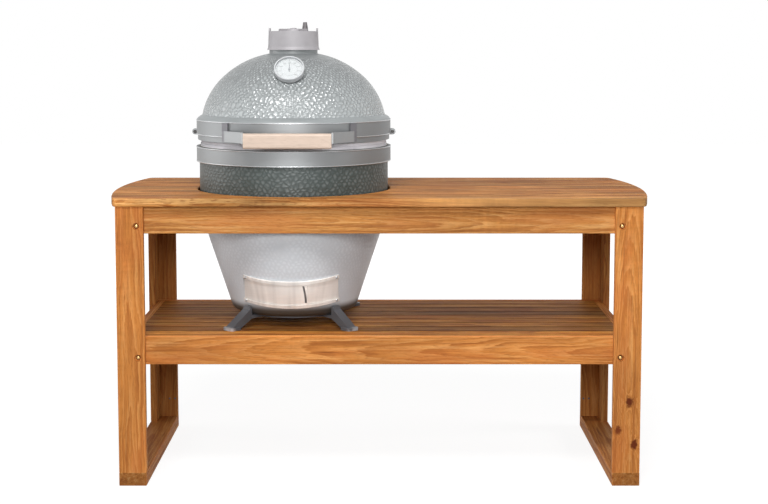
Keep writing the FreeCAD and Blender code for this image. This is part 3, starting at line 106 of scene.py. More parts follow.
class GlazeSettings(PropertyGroup):
    dome: tint("Dome", "Glaze of the lid", 160, 165, 166)
    shoulder: tint("Upper base", "Glaze of the base above the table top", 61, 70, 68)
    # Painted paler and bluer, partly to make up for the table top's shade and the brown light the wood throws on it
    belly: tint("Lower base", "Glaze of the base under the table top", 211, 215, 220)
    # Painted shade: the base's lower corner, under the draft frame
    soot: tint("Underside", "The base's lower corner", 70, 64, 58)
    bare: tint("Bare ceramic", "Unglazed inside", 186, 176, 162)
    dimple: length("Dimple pitch", "Distance between the dimples", 0.0162)
    depth: length("Dimple depth", "Depth of the dimples", 0.0018)
    gloss: share("Roughness", "Roughness of the glaze", 0.24)


class MetalSettings(PropertyGroup):
    band: tint("Bands", "Satin steel bands", 134, 136, 137)
    vent: tint("Vent", "Cast vent cap", 164, 161, 164)
    # Also used for the door's slot, where it is painted shade
    knob: tint("Knob", "Knob on the vent, leg screws and the door's slot", 96, 92, 94)
    draft: tint("Draft door", "Brushed steel of the draft frame and its door", 236, 231, 226)
    stand: tint("Feet", "Slate grey paint on the feet", 94, 95, 99)
    # Partly wear, partly painted highlight on the toes
    rubbed: tint("Rubbed feet", "Toes where the paint has worn", 196, 196, 200)
    iron: tint("Cast iron", "Grates and clamp bolts", 58, 57, 56)
    bolt: tint("Bolts", "Brass coloured bolts in the legs", 190, 150, 96)
    arm: tint("Brackets", "Handle arms and hinge", 146, 148, 149)
    foot: tint("Dark steel", "Foot plates of the handle arms", 112, 111, 115)
    rim: tint("Bright steel", "Edges of the bands, dial case and draft screws", 186, 188, 190)


class TrimSettings(PropertyGroup):
    handle: tint("Handle", "Pale wood of the handle", 212, 190, 173)
    felt: tint("Seal", "Felt between dome and base", 208, 205, 210)
    face: tint("Dial face", "Face of the thermometer", 226, 228, 229)
    ink: tint("Dial print", "Ticks and numbers", 128, 130, 132)
    needle: tint("Needle", "Needle of the thermometer", 150, 152, 155)
    glass: tint("Glass", "Glass of the thermometer", 225, 232, 232)
    clay: tint("Fireclay", "Firebox and its ring", 190, 178, 160)


class StageSettings(PropertyGroup):
    front: power("Front light", "Large light beside the camera", 120)
    high: power("High light", "Light above the camera", 106)
    glint: power("Glint light", "Light that shows only in reflections", 95)
    left: power("Left light", "Light to the left of the table", 54)
    right: power("Right light", "Light to the right of the table", 81)
    back: power("Back light", "Light behind the table", 80)
    top: power("Top light", "Light overhead", 6)
    sky: share("Room light", "Light from all round", 0.1)
    floor: tint("Floor", "Colour of the light that the floor throws back", 190, 190, 190)


SETTINGS = (TimberSettings, GlazeSettings, MetalSettings, TrimSettings, StageSettings)
PREFIX = "grill_table_"


def kind_of(group):
    """The short name of a group of settings, such as timber."""
    return group.__name__.replace("Settings", "").lower()


def settings(kind):
    return getattr(bpy.context.scene, PREFIX + kind)


# -------------------- materials

def toned(colour, amount=1.0):
    """A colour made lighter or darker, with its alpha."""
    return (*(min(value * amount, 1.0) for value in colour[:3]), 1.0)


class Term:
    """A socket in a formula. Each operator adds one Math node."""

    def __init__(self, nodes, socket):
        self.nodes, self.socket = nodes, socket


def allow(operator, operation):
    """Lets an operator join a term to another term or to a number on either side of it."""
    setattr(Term, f"__{operator}__", lambda self, other: self.nodes.maths(operation, self, other))
    setattr(Term, f"__r{operator}__", lambda self, other: self.nodes.maths(operation, other, self))


for sign, name in (("add", "ADD"), ("sub", "SUBTRACT"), ("mul", "MULTIPLY"), ("truediv", "DIVIDE")):
    allow(sign, name)


class Nodes:
    """A node tree that is filled from top to bottom."""

    def __init__(self, tree):
        self.tree = tree
        tree.nodes.clear()

    def node(self, kind, choices=None, inputs=None, output=0):
        made = self.tree.nodes.new(kind)
        for name, value in (choices or {}).items():
            setattr(made, name, value)
        for name, value in (inputs or {}).items():
            if isinstance(value, Term):
                self.tree.links.new(value.socket, made.inputs[name])
            else:
                made.inputs[name].default_value = value
        return Term(self, made.outputs[output]) if len(made.outputs) else None

    def maths(self, operation, *values):
        return self.node("ShaderNodeMath", {"operation": operation}, dict(enumerate(values)))

    def size(self, value):
        """A value without its sign."""
        return self.maths("ABSOLUTE", value)

    def span(self, first, second):
        """The length of the diagonal over two sides."""
        return self.maths("SQRT", first * first + second * second)

    def siblings(self, term):
        """Every output of the node that a term comes from, by name and by number."""
        return term.socket.node.outputs

    def split(self, vector):
        parts = self.node("ShaderNodeSeparateXYZ", inputs={0: vector})
        return [Term(self, socket) for socket in self.siblings(parts)]

    def joined(self, x, y, z):
        return self.node("ShaderNodeCombineXYZ", inputs={0: x, 1: y, 2: z})

    def stretched(self, vector, *scale):
        return self.node("ShaderNodeMapping", {"vector_type": "POINT"}, {"Vector": vector, "Scale": scale})

    def noise(self, vector, detail=2.0, rough=0.5, scale=1.0):
        return self.node("ShaderNodeTexNoise", inputs={
            "Vector": vector, "Scale": scale, "Detail": detail, "Roughness": rough})

    def step(self, value, low, high):
        """Rises smoothly from 0 at low to 1 at high, or falls when high is the smaller."""
        rising = low < high
        return self.node(
            "ShaderNodeMapRange", {"interpolation_type": "SMOOTHSTEP"},
            {"Value": value, "From Min": min(low, high), "From Max": max(low, high),
             "To Min": 0.0 if rising else 1.0, "To Max": 1.0 if rising else 0.0})

    def mixed(self, amount, first, second):
        return self.node("ShaderNodeMix", {"data_type": "RGBA"}, {0: amount, 6: first, 7: second}, output=2)

    def scaled(self, colour, amount):
        start = colour if isinstance(colour, Term) else colour[:3]
        return self.node("ShaderNodeVectorMath", {"operation": "SCALE"}, {0: start, "Scale": amount})


class Finish(Nodes):
    """One material."""

    def __init__(self, name):
        self.material = bpy.data.materials.new(name)
        self.material.use_nodes = True
        super().__init__(self.material.node_tree)
        self.place = self.node("ShaderNodeTexCoord", output="Object")
        self.facing = Term(self, self.siblings(self.place)["Normal"])

    def surface(self, colour, rough, relief=None, depth=0.0005, **constants):
        """Ends the material. The relief goes through a Bump node."""
        inputs = {"Base Color": colour, "Roughness": rough}
        inputs.update({name.replace("_", " "): value for name, value in constants.items()})
        if relief is not None:
            inputs["Normal"] = self.node("ShaderNodeBump", inputs={
                "Strength": 1.0, "Distance": depth, "Height": relief})
        shader = self.node("ShaderNodeBsdfPrincipled", inputs=inputs)
        self.node("ShaderNodeOutputMaterial", inputs={"Surface": shader})
        return self.material

    def cloudy(self, waves, detail=3, rough=0.5):
        """Noise that is alike in every direction, with so many waves in a metre."""
        return self.noise(self.place, detail, rough, waves)

    def around(self):
        """Direction round the grill's axis, distance from it, and height."""
        x, y, z = self.split(self.place)
        east = x - GRILL_X
        return self.maths("ARCTAN2", y, east), self.span(east, y), z


def dress(node, material):
    """Gives a carried-over solid its material."""
    carried = NODES[node]
    carried.data.materials.clear()
    carried.data.materials.append(material)


class Step:
    """What every operator has in common: it builds its part of the finish."""

    def execute(self, context):
        self.build()
        return {"FINISHED"}


# -------------------- making pieces

CREASE = math.radians(35)  # edges sharper than this stay sharp
# A screw's head: its flat crown as a share of its radius, its profile as shares of radius and height,
# and its socket's depth as a share of its height
CROWN_SHARE = 0.6
SCREW_PROFILE = ((0, 0), (1, 0), (1, 0.35), (0.86, 0.75), (CROWN_SHARE, 1), (0, 1))
SOCKET_SHARE = 0.6
SCREW_STEPS = 24


def turned(profile, steps):
    """A closed piece turned round the z axis from a profile."""
    shape = bmesh.new()
    corners = [shape.verts.new((radius, 0, height)) for radius, height in profile]
    edges = [shape.edges.new(pair) for pair in zip(corners, corners[1:])]
    bmesh.ops.spin(shape, geom=corners + edges, cent=(0, 0, 0), axis=(0, 0, 1), angle=math.tau,
                   steps=steps, use_merge=True)
    bmesh.ops.remove_doubles(shape, verts=shape.verts, dist=1e-6)
    bmesh.ops.recalc_face_normals(shape, faces=shape.faces)
    return shape


def add(made, shape):
    """Moves one shape's faces into another."""
    mesh = bpy.data.meshes.new("copy")
    shape.to_mesh(mesh)
    shape.free()
    made.from_mesh(mesh)
    bpy.data.meshes.remove(mesh)


def repeated(pattern, places):
    """One mesh with a copy of the pattern at each place."""
    made = bmesh.new()
    for place in places:
        copy = pattern.copy()
        copy.transform(place)
        add(made, copy)
    return made


def linked(name, data):
    """A new object in the scene."""
    made = bpy.data.objects.new(name, data)
    bpy.context.scene.collection.objects.link(made)
    return made


def standing(shape, name, material):
    """Turns a finished mesh into an object."""
    mesh = bpy.data.meshes.new(name)
    shape.to_mesh(mesh)
    shape.free()
    mesh.materials.append(material)
    return linked(name, mesh)


def publish(shape, name, body, material):
    """Turns a finished mesh into a piece that rides on a body."""
    for face in shape.faces:
        face.smooth = True
    for edge in shape.edges:
        edge.smooth = len(edge.link_faces) == 2 and edge.calc_face_angle(0) < CREASE
    piece = standing(shape, name, material)
    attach(piece, body)


def seat(position, outward):
    """The placement that puts a piece's z axis along outward at a position."""
    z_axis = Vector(outward).normalized()
    x_axis = Vector((0, 0, 1)).cross(z_axis).normalized()
    turn = Matrix((x_axis, z_axis.cross(x_axis), z_axis)).transposed()
    return Matrix.Translation(position) @ turn.to_4x4()


def landing(node, start, heading):
    """Where a straight line meets a solid, and the surface's direction there."""
    hit, point, normal, _ = NODES[node].ray_cast(Vector(start), Vector(heading).normalized())
    if not hit:
        raise RuntimeError(f"no surface of {node} lies that way")
    return point, normal


def screw_head(radius, height, socket):
    """A domed head with a round socket, from its radius, its height and the socket's radius."""
    head = turned([(radius * reach, height * climb) for reach, climb in SCREW_PROFILE], SCREW_STEPS)
    crown = [face for face in head.faces if face.calc_center_median().z > height * 0.99]
    bmesh.ops.dissolve_faces(head, faces=crown)
    crown = max(head.faces, key=lambda face: face.calc_center_median().z)
    bmesh.ops.inset_region(head, faces=[crown], thickness=radius * CROWN_SHARE - socket, depth=0)
    sunk = bmesh.ops.extrude_face_region(head, geom=[crown])
    bmesh.ops.translate(head, vec=(0, 0, -height * SOCKET_SHARE),
                        verts=[part for part in sunk["geom"] if isinstance(part, bmesh.types.BMVert)])
    bmesh.ops.delete(head, geom=[crown], context="FACES_ONLY")
    bmesh.ops.recalc_face_normals(head, faces=head.faces)
    return head


# -------------------- timber

# Noises of the grain: waves in a metre along the board and across it, detail, roughness
GRAIN = {
    "sway": (3.2, 11, 3), "fine": (12, 140, 3, 0.6), "vary": (3.5, 30, 2), "streak": (2.2, 90, 5, 0.66),
    "gash": (4.5, 60, 2), "pores": (40, 1300, 1), "dashes": (48, 300, 1), "blush": (4.0, 16, 3),
    "patch": (3.0, 10, 3), "flecks": (90, 26, 2), "ribbon": (2.0, 6, 1),
}
HEART_REACH = (0.02, 0.05)
KNOT_SQUASH = 0.7
EDGE_WEAR_AND_HIGHLIGHT = (0.0034, 0.001)
GAP_SHADE = (0.005, 0.001)
# Where the top's sapwood starts: towards the front edge, and right of the grill
SAPWOOD_FRONT, SAPWOOD_RIGHT = (0.27, 0.315), (-0.1, 0.3)


def knotted(finish, run, width, radius, knots):
    """Bends the growth rings round each knot. Returns them, and where the knots' hearts are."""
    ring = settings("timber").ring
    heart = 0.0
    ragged = (finish.cloudy(120) - 0.5) * 1.3
    for knot_run, knot_width, knot_size in knots:
        along, beside = (run - knot_run) * KNOT_SQUASH, width - knot_width
        reach = finish.span(along, beside) / knot_size + ragged
        radius = radius + ring * 2.6 / (1 + reach * reach * 0.5)
        heart = finish.maths("MAXIMUM", heart, finish.step(reach, 1.1, 0.5))
    return radius, heart


def timber(node, grain=None, knots=(), staves=False, arch=None, worn=True, tone=1.0, painted_level_shading=1.0,
           figure=1.0, cast=(1.0, 1.0, 1.0), shaded_gaps=False, mottle=0.66):
    """Oiled hardwood with growth rings round a heart beside the board, streaks, pores and paler
    edges, partly wear and partly painted highlight. An arch gives the heart's distance and lean, and so
    how steep the grain's arches are. Level faces may be painted lighter or darker than the rest, as
    painted light and shade. Figure is how strongly the grain shows, mottle how much its broad patches
    differ, and the cast leans the board's hue. Boards with shaded gaps get painted shade along their long edges."""
    wood = settings("timber")
    chance = random.Random(node)
    finish = Finish(node + "_timber")
    low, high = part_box(node)
    sides = sorted(range(3), key=lambda side: high[side] - low[side], reverse=True)
    if grain is not None:
        sides.sort(key=lambda side: side != grain)
    step, mixed = finish.step, finish.mixed
    place, facing = finish.split(finish.place), finish.split(finish.facing)
    board = [place[side] - (low[side] + high[side]) / 2 for side in sides]
    run, width, depth = board
    tone *= chance.uniform(0.95, 1.05)

    shift = 0.0
    if staves:
        count = width / wood.stave + 0.5
        stave = finish.maths("FLOOR", count)
        shift = finish.node("ShaderNodeTexWhiteNoise", {"noise_dimensions": "1D"}, {"W": stave + 3.7})
        inside = count - stave
        joint = step(finish.size(inside - 0.5), 0.488, 0.497)
        width = (inside - 0.5) * wood.stave + (shift - 0.5) * 0.05
    drift = [chance.uniform(-9, 9) for _ in range(3)]
    grainwise = finish.joined(run + drift[0] + shift * 3.0, width + drift[1], depth + drift[2] + shift * 5.0)

    def grained(name):
        along, across, *kind = GRAIN[name]
        return finish.noise(finish.stretched(grainwise, along, across, across), *kind)

    sway = grained("sway") - 0.5
    heart, lean = arch or (chance.choice((-1, 1)) * chance.uniform(*HEART_REACH) for _ in range(2))
    aside = width + chance.uniform(-0.018, 0.018) + sway * 0.05
    radius = finish.span(aside, depth + heart + run * lean)
    crowd = finish.noise(finish.joined(radius * 60, drift[0], drift[1]))
    radius = radius + (crowd - 0.5) * wood.ring * 3.0
    if knots:
        radius, knot = knotted(finish, run, width, radius, knots)
    ring = finish.maths("FRACT", radius / wood.ring + (grained("fine") - 0.5) * 0.9)

    pale, warm, deep, line, ruddy = (
        toned([value * part for value, part in zip(colour, cast)], tone)
        for colour in (wood.pale, wood.warm, wood.deep, wood.line, wood.ruddy))
    end = step(finish.size(facing[sides[0]]), 0.6, 0.85)
    late = step(ring, 0.35, 0.92) * step(ring, 1.0, 0.93)
    late = late * step(grained("vary"), 0.3, 0.7) * (1 - end * 0.6)
    streak = grained("streak")
    pores = step(grained("pores"), 0.6, 0.7)
    layers = [
        (late * (0.85 * figure), deep),
        (step(ring, 0.5, 0.05) * 0.3, pale),
        (step(streak, 0.5, 0.68) * (0.8 * figure), deep),
        (step(streak, 0.48, 0.34) * (0.75 * figure), pale),
        (step(grained("gash"), 0.67, 0.78) * 0.6, line),
        (pores * 0.25, line),
        (step(grained("dashes"), 0.58, 0.7) * (0.34 * figure), deep),
    ]
    if knots:
        layers.append((knot, toned(wood.knot, tone)))
    if staves:
        layers.append((joint * 0.6, line))
    layers.append((step(grained("blush"), 0.48, 0.68) * 0.4, ruddy))

    ribbon = step(grained("ribbon"), 0.5, 0.68)
    level = 0.99 + (grained("patch") - 0.5) * mottle + (grained("flecks") - 0.5) * ribbon * 0.34 - end * 0.3
    relief = pores * -0.7 + streak * 0.25 + late * 0.2
    if staves:
        # Painted shade: the top grows darker from its front to its back
        level = level + (shift - 0.5) * 0.18 - place[1] * 0.45
        relief = relief - joint
        sapwood = step(sway * 0.12 - place[1], *SAPWOOD_FRONT) * step(place[0], *SAPWOOD_RIGHT)
        layers.append((sapwood * 0.6, pale))
    if worn or shaded_gaps:
        to_end, to_side, to_face = (
            (high[side] - low[side]) / 2 - finish.size(way) for side, way in zip(sides, board))
    # Paler edges: partly wear, partly painted highlight where the edges catch the light
    if worn:
        rim = finish.maths("MINIMUM", to_side + to_face,
                           finish.maths("MINIMUM", to_side + to_end, to_face + to_end))
        level = level + step(rim, *EDGE_WEAR_AND_HIGHLIGHT) * 0.12
    # Painted shade along the long edges, in the gaps between boards
    if shaded_gaps:
        level = level * (1 - step(to_side, *GAP_SHADE) * 0.55)
    # Painted light and shade on faces that look up
    if painted_level_shading != 1.0:
        level = level * (1 + step(facing[2], 0.7, 0.95) * (painted_level_shading - 1))

    colour = warm
    for amount, paint in layers:
        colour = mixed(amount, colour, paint)
    return finish.surface(finish.scaled(colour, level), streak * 0.18 + (wood.gloss - 0.09), relief,
                          depth=0.00035, Specular_IOR_Level=0.1)


BOARDS = [
    "front_apron", "back_apron", "left_top_rail", "right_top_rail",
    "left_runner", "right_runner",
    "front_shelf_rail", "back_shelf_rail", "left_shelf_rail", "right_shelf_rail",
    *(f"shelf_slat_{number}" for number in range(1, 10)),
    *(f"{end}_{hand}_leg_{part}" for end in ("front", "back") for hand in ("left", "right")
      for part in ("face_board", "side_board")),
]
# Under the table top the slats are painted darker, painted shade, with tones that also differ at random; the front
# slat, which the light reaches, stays paler
FRONT_SLAT_TONE = 0.95
SHADED_SLAT_TONES = (0.52, 0.64, 0.42, 0.57)
# Middle of each knot along the board and across it, and its radius
RIGHT_LEG_KNOTS = ((-0.171, 0.007, 0.013), (-0.251, -0.023, 0.010), (-0.290, 0.021, 0.012))


def board_look(node):
    """How a board's timber departs from the usual."""
    if node.startswith("shelf_slat"):
        number = int(node.split("_")[-1])
        tone = FRONT_SLAT_TONE if number == 1 else SHADED_SLAT_TONES[number % len(SHADED_SLAT_TONES)]
        return {"tone": tone, "cast": (1.0, 1.0, 0.7), "figure": 1.6, "worn": False, "shaded_gaps": True, "mottle": 1.7}
    if node == "front_right_leg_face_board":
        return {"knots": RIGHT_LEG_KNOTS, "arch": (0.03, 0.075), "figure": 0.7}
    # The rail's top face is painted lighter: a painted highlight
    if node == "front_shelf_rail":
        return {"tone": 1.06, "painted_level_shading": 1.6, "figure": 0.8, "mottle": 0.9}
    if node == "front_apron":
        return {"figure": 0.85, "cast": (1.0, 1.14, 1.3)}
    # Painted shade on the legs' side boards, which stand in the table top's shade
    if node.endswith("side_board"):
        return {"tone": 0.67}
    # Painted shade on the back legs' face boards
    if node.endswith("face_board"):
        return {"figure": 0.6, "tone": 0.66 if node.startswith("back") else 1.0}
    # The runners are darker, and their tops darker still: painted shade
    if node.endswith("runner"):
        return {"tone": 0.82, "painted_level_shading": 0.74}
    return {}


class TABLE_OT_timber(Step, Operator):
    """Oiled hardwood on every board of the table"""
    bl_idname = "grill_table.timber"
    bl_label = "Timber"

    def build(self):
        for node in BOARDS:
            dress(node, timber(node, **board_look(node)))
        for node in ("top_battens", "shelf_bearers"):
            dress(node, timber(node, grain=1, worn=False))
        # The top's level face is painted lighter than its edges
        dress("table_top", timber("table_top", grain=0, staves=True, worn=False, tone=0.67, painted_level_shading=1.17,
                                  figure=1.8, cast=(1.0, 1.08, 1.12), mottle=2.3))


class TABLE_OT_fixings(Step, Operator):
    """Bolts and nuts of the frame, and a pair of small screws near the foot of each leg"""
    bl_idname = "grill_table.fixings"
    bl_label = "Fixings"

    SCREW_INSETS = (0.008, 0.025)
    SCREW_RISE, SCREW_SUNK = 0.057, 0.0002
    SCREW = (0.003, 0.0009, 0.0013)

    def build(self):
        metal = settings("metal")
        dress("frame_bolts", plain_metal("bolt_brass", metal.bolt, 0.28))
        dress("frame_nuts", plain_metal("nut_steel", metal.band, 0.4))
        places = []
        sunk = Matrix.Translation((0, 0, -self.SCREW_SUNK))
        for end, facing in (("front", 1), ("back", -1)):
            low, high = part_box(f"{end}_right_leg_face_board")
            face = high.y if facing > 0 else low.y
            for inset in self.SCREW_INSETS:
                for hand in (1, -1):
                    spot = (hand * (low.x + inset), face, low.z + self.SCREW_RISE)
                    places.append(seat(spot, (0, facing, 0)) @ sunk)
        screws = repeated(screw_head(*self.SCREW), places)
        publish(screws, "leg_screws", "table", plain_metal("leg_screw_steel", metal.knob, 0.5))


# -------------------- ceramic

BODY_RADIUS = 0.28
ROW_SHARE = 0.77  # distance of the dimples' rows, as a share of their pitch
OVAL = 1.15  # how much wider than high a dimple is
# The skirt between dome and band: how far each point of its profile is spread from the dome towards
# the band's rim, and how high it is, as shares
FLARE = ((-0.3, 0.0), (1.0, 0.0), (0.99, 0.08), (0.93, 0.2), (0.79, 0.37), (0.58, 0.56), (0.36, 0.74), (0.16, 0.9),
         (0.02, 1.0), (-0.15, 1.0))
FLARE_HEIGHT, FLARE_SUNK, FLARE_INSET, FLARE_STEPS = 0.014, 0.0006, 0.0008, 160
# Painted shade on the ridges between dimples, paleness of the hollows (partly glaze pooling, partly painted glints),
# height of the relief, index of refraction
GLAZED = {"dome": (0.32, 0.55, -1.0, 1.65), "base_shell": (0.42, 0.3, -0.6, 1.5)}
# Heights between which the glaze's colour changes, with painted shade towards the dome's top, at its neck and on the
# base's lower corner, and between which the base's dimples grow
DOME_SHADE, NECK_SHADE, BASE_SHADE, UNDERSIDE_SHADE = (1.0, 1.16), (1.186, 1.196), (0.7, 0.8), (0.487, 0.462)
DIMPLES_START, DIMPLES_FULL = (0.45, 0.55), (0.68, 0.79)
# The dome is smooth this close to its axis, and dimpled this far from it. Its middle is this high.
NECK_REACH, CROWN_REACH, DOME_HEART = 0.085, 0.14, 0.95


def dimples(finish, turn, climb, fade):
    """Hammered hollows in staggered rows, none quite in line. Returns how deep each point lies,
    from 0 to 1."""
    pitch = settings("glaze").dimple
    count = round(math.tau * BODY_RADIUS / pitch)
    loose, looser = (finish.cloudy(waves / pitch, detail=1) for waves in (0.55, 0.7))
    across = turn * (count / math.tau) + (loose - 0.5) * 1.35
    up = climb * (ROW_SHARE / pitch) + (looser - 0.5) * 1.15
    apart = []
    for shift in (0.0, 0.5):
        beside = finish.maths("FRACT", across + shift) - 0.5
        above = (finish.maths("FRACT", up + shift) - 0.5) * (OVAL / ROW_SHARE)
        apart.append(finish.span(beside, above))
    return finish.step(finish.maths("MINIMUM", *apart), 0.52, 0.06) * fade


class TABLE_OT_ceramic(Step, Operator):
    """Dimpled glaze outside the dome and base, bare ceramic inside, and the skirt under the dome"""
    bl_idname = "grill_table.ceramic"
    bl_label = "Ceramic"

    def build(self):
        for node in GLAZED:
            dress(node, self.glazed(node))
        self.flare()

    def flare(self):
        """The smooth skirt that spreads from the dimpled dome to the top of its band."""
        low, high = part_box("upper_band")
        foot, rim = high.z - FLARE_SUNK, (high.y - low.y) / 2 - FLARE_INSET
        profile = []
        for spread, climb in FLARE:
            height = foot + climb * FLARE_HEIGHT
            wall, _ = landing("dome", (GRILL_X + 0.5, 0, height), (-1, 0, 0))
            reach = wall.x - GRILL_X
            profile.append((reach + spread * (rim - reach), height))
        ring = turned(profile + profile[:1], FLARE_STEPS)
        ring.transform(Matrix.Translation((GRILL_X, 0, 0)))
        finish = Finish("dome_flare_glaze")
        cloud = finish.cloudy(14)
        colour = finish.scaled(toned(settings("glaze").dome, 0.8), 0.8 + cloud * 0.4)
        glaze = finish.surface(colour, cloud * 0.1 + 0.36, cloud, depth=0.001, IOR=1.5)
        publish(ring, "dome_flare", "lid", glaze)

    def glazed(self, node):
        """The dome darkens towards its neck with painted shade, and the base goes from its pale belly, painted paler
        against the table top's shade, up to its shoulder.
        """
        glaze = settings("glaze")
        ridge_painted_shade, hollow_pale_and_glint, relief_height, refraction = GLAZED[node]
        finish = Finish(node + "_glaze")
        turn, reach, height = finish.around()
        x, y, _ = finish.split(finish.place)
        normal_x, normal_y, normal_z = finish.split(finish.facing)
        outward = (x - GRILL_X) * normal_x + y * normal_y
        climb, dull = height - SEAM, 0.2
        if node == "dome":
            climb = finish.maths("ARCTAN2", climb, reach) * BODY_RADIUS
            fade = finish.step(reach, NECK_REACH, CROWN_REACH)
            # Painted shade: the dome darkens towards its top
            colour = finish.mixed(finish.step(height, *DOME_SHADE), toned(glaze.dome, 1.04), toned(glaze.dome, 0.64))
            outward = outward + (height - DOME_HEART) * normal_z
            dull = finish.step(reach, CROWN_REACH, NECK_REACH) * dull
        else:
            fade = finish.step(height, *DIMPLES_START) * (finish.step(height, *DIMPLES_FULL) * 0.24 + 0.26)
            # The belly's paleness is partly painted light, against the table top's shade
            colour = finish.mixed(finish.step(height, *BASE_SHADE), toned(glaze.belly), toned(glaze.shoulder))
        hollow = dimples(finish, turn, climb, fade)
        cloud = finish.cloudy(9)
        pooling_and_glints = finish.cloudy(70, detail=2)
        ridge = finish.step(hollow, 0.3, 0.0) * fade
        colour = finish.scaled(colour, 0.76 + cloud * 0.48)
        # Painted shade on the ridges between dimples
        colour = finish.scaled(colour, 1 - ridge * finish.step(cloud, 0.25, 0.6) * ridge_painted_shade)
        # Paler hollows: partly glaze pooling, partly painted glints
        colour = finish.mixed(hollow * finish.step(pooling_and_glints, 0.3, 0.65) * hollow_pale_and_glint, colour, toned(glaze.dome, 1.4))
        if node == "dome":
            # Painted shade: darker still at the neck, under the vent cap
            colour = finish.scaled(colour, 1 - finish.step(height, *NECK_SHADE) * 0.12)
        else:
            # Painted shade on the base's lower corner
            colour = finish.mixed(finish.step(height, *UNDERSIDE_SHADE), colour, toned(glaze.soot))
        outside = finish.step(outward, -0.01, 0.01)
        grit = finish.cloudy(260, detail=4)
        bare = finish.scaled(toned(glaze.bare), 0.82 + grit * 0.3)
        rough = 0.75 - outside * (0.75 - glaze.gloss - dull)
        relief = hollow * outside * relief_height + grit * 0.04
        return finish.surface(finish.mixed(outside, bare, colour), rough, relief, depth=glaze.depth, IOR=refraction)


class TABLE_OT_hearth(Step, Operator):
    """Fireclay and cast iron inside the grill"""
    bl_idname = "grill_table.hearth"
    bl_label = "Hearth"

    def build(self):
        for node in ("firebox", "fire_ring"):
            dress(node, self.clay(node))
        for node in ("charcoal_grate", "cooking_grid"):
            dress(node, cast_metal(node + "_iron", settings("metal").iron, 0.55))

    def clay(self, node):
        """Grainy fireclay with darker clouds."""
        colour = settings("trim").clay
        finish = Finish(node + "_clay")
        grit = finish.cloudy(240, detail=4)
        cloud = finish.cloudy(12)
        mixed = finish.mixed(finish.step(cloud, 0.45, 0.75) * 0.5, toned(colour), toned(colour, 0.62))
        mixed = finish.scaled(mixed, 0.85 + grit * 0.3)
        return finish.surface(mixed, 0.8 + grit * 0.15, grit, depth=0.0006)


# -------------------- metal finishes

def cast_skin(finish):
    """The grit of a casting, and its broader clouds."""
    return finish.cloudy(420), finish.cloudy(22)


def cast_metal(name, colour, rough, glint=0.2):
    """Cast metal: a fine mottled skin."""
    finish = Finish(name)
    grit, cloud = cast_skin(finish)
    mixed = finish.scaled(toned(colour), 0.82 + cloud * 0.36)
    return finish.surface(mixed, cloud * 0.2 + (rough - 0.1), grit, depth=0.0003, Metallic=glint)


def plain_metal(name, colour, rough):
    """Machined metal with faint scratches."""
    finish = Finish(name)
    scratch = finish.noise(finish.stretched(finish.place, 900, 900, 120))
    mixed = finish.scaled(toned(colour), 0.88 + scratch * 0.24)
    return finish.surface(mixed, scratch * 0.2 + (rough - 0.1), scratch, depth=0.00008, Metallic=0.85)


class Brushed(Finish):
    """Sheet metal rolled round the grill and brushed along its length."""

    def __init__(self, name):
        super().__init__(name)
        self.turn, self.reach, self.height = self.around()
        fine = self.joined(self.turn * 1.6, self.height * 520, self.reach * 520)
        self.lines = self.noise(fine, detail=3, rough=0.6)
        self.cloud = self.noise(self.joined(self.turn * 2.2, self.height * 5, 0.0))

    def wave(self):
        """Broad painted reflections, as in sheet that isn't quite even."""
        return self.noise(self.joined(self.turn * 7, self.height * 3, 2.0))

    def brushed(self, colour, rough, glint):
        """Ends the material."""
        return self.surface(colour, self.lines * 0.16 + (rough - 0.08), self.lines, depth=0.00012, Metallic=glint)


def brushed_metal(name, colour, rough, glint, seated=None, painted_rail_highlight=1.0, waves=0.0):
    """What is seated closer to the grill than a radius has its own colour, and what faces up may get a
    painted highlight. Waves is how strongly the painted reflections show."""
    finish = Brushed(name)
    mixed = finish.scaled(toned(colour), 0.84 + finish.lines * 0.16 + finish.cloud * 0.16)
    if waves:
        # Painted reflections
        mixed = finish.scaled(mixed, 1 + (finish.wave() - 0.5) * waves)
    if seated:
        radius, dark = seated
        mixed = finish.mixed(finish.step(finish.reach, radius, radius - 0.002), mixed, toned(dark))
    if painted_rail_highlight != 1.0:
        upward = finish.split(finish.facing)[2]
        # Painted highlight on what faces up
        mixed = finish.scaled(mixed, 1 + finish.step(upward, 0.5, 0.8) * (painted_rail_highlight - 1))
    return finish.brushed(mixed, rough, glint)


# -------------------- metalwork

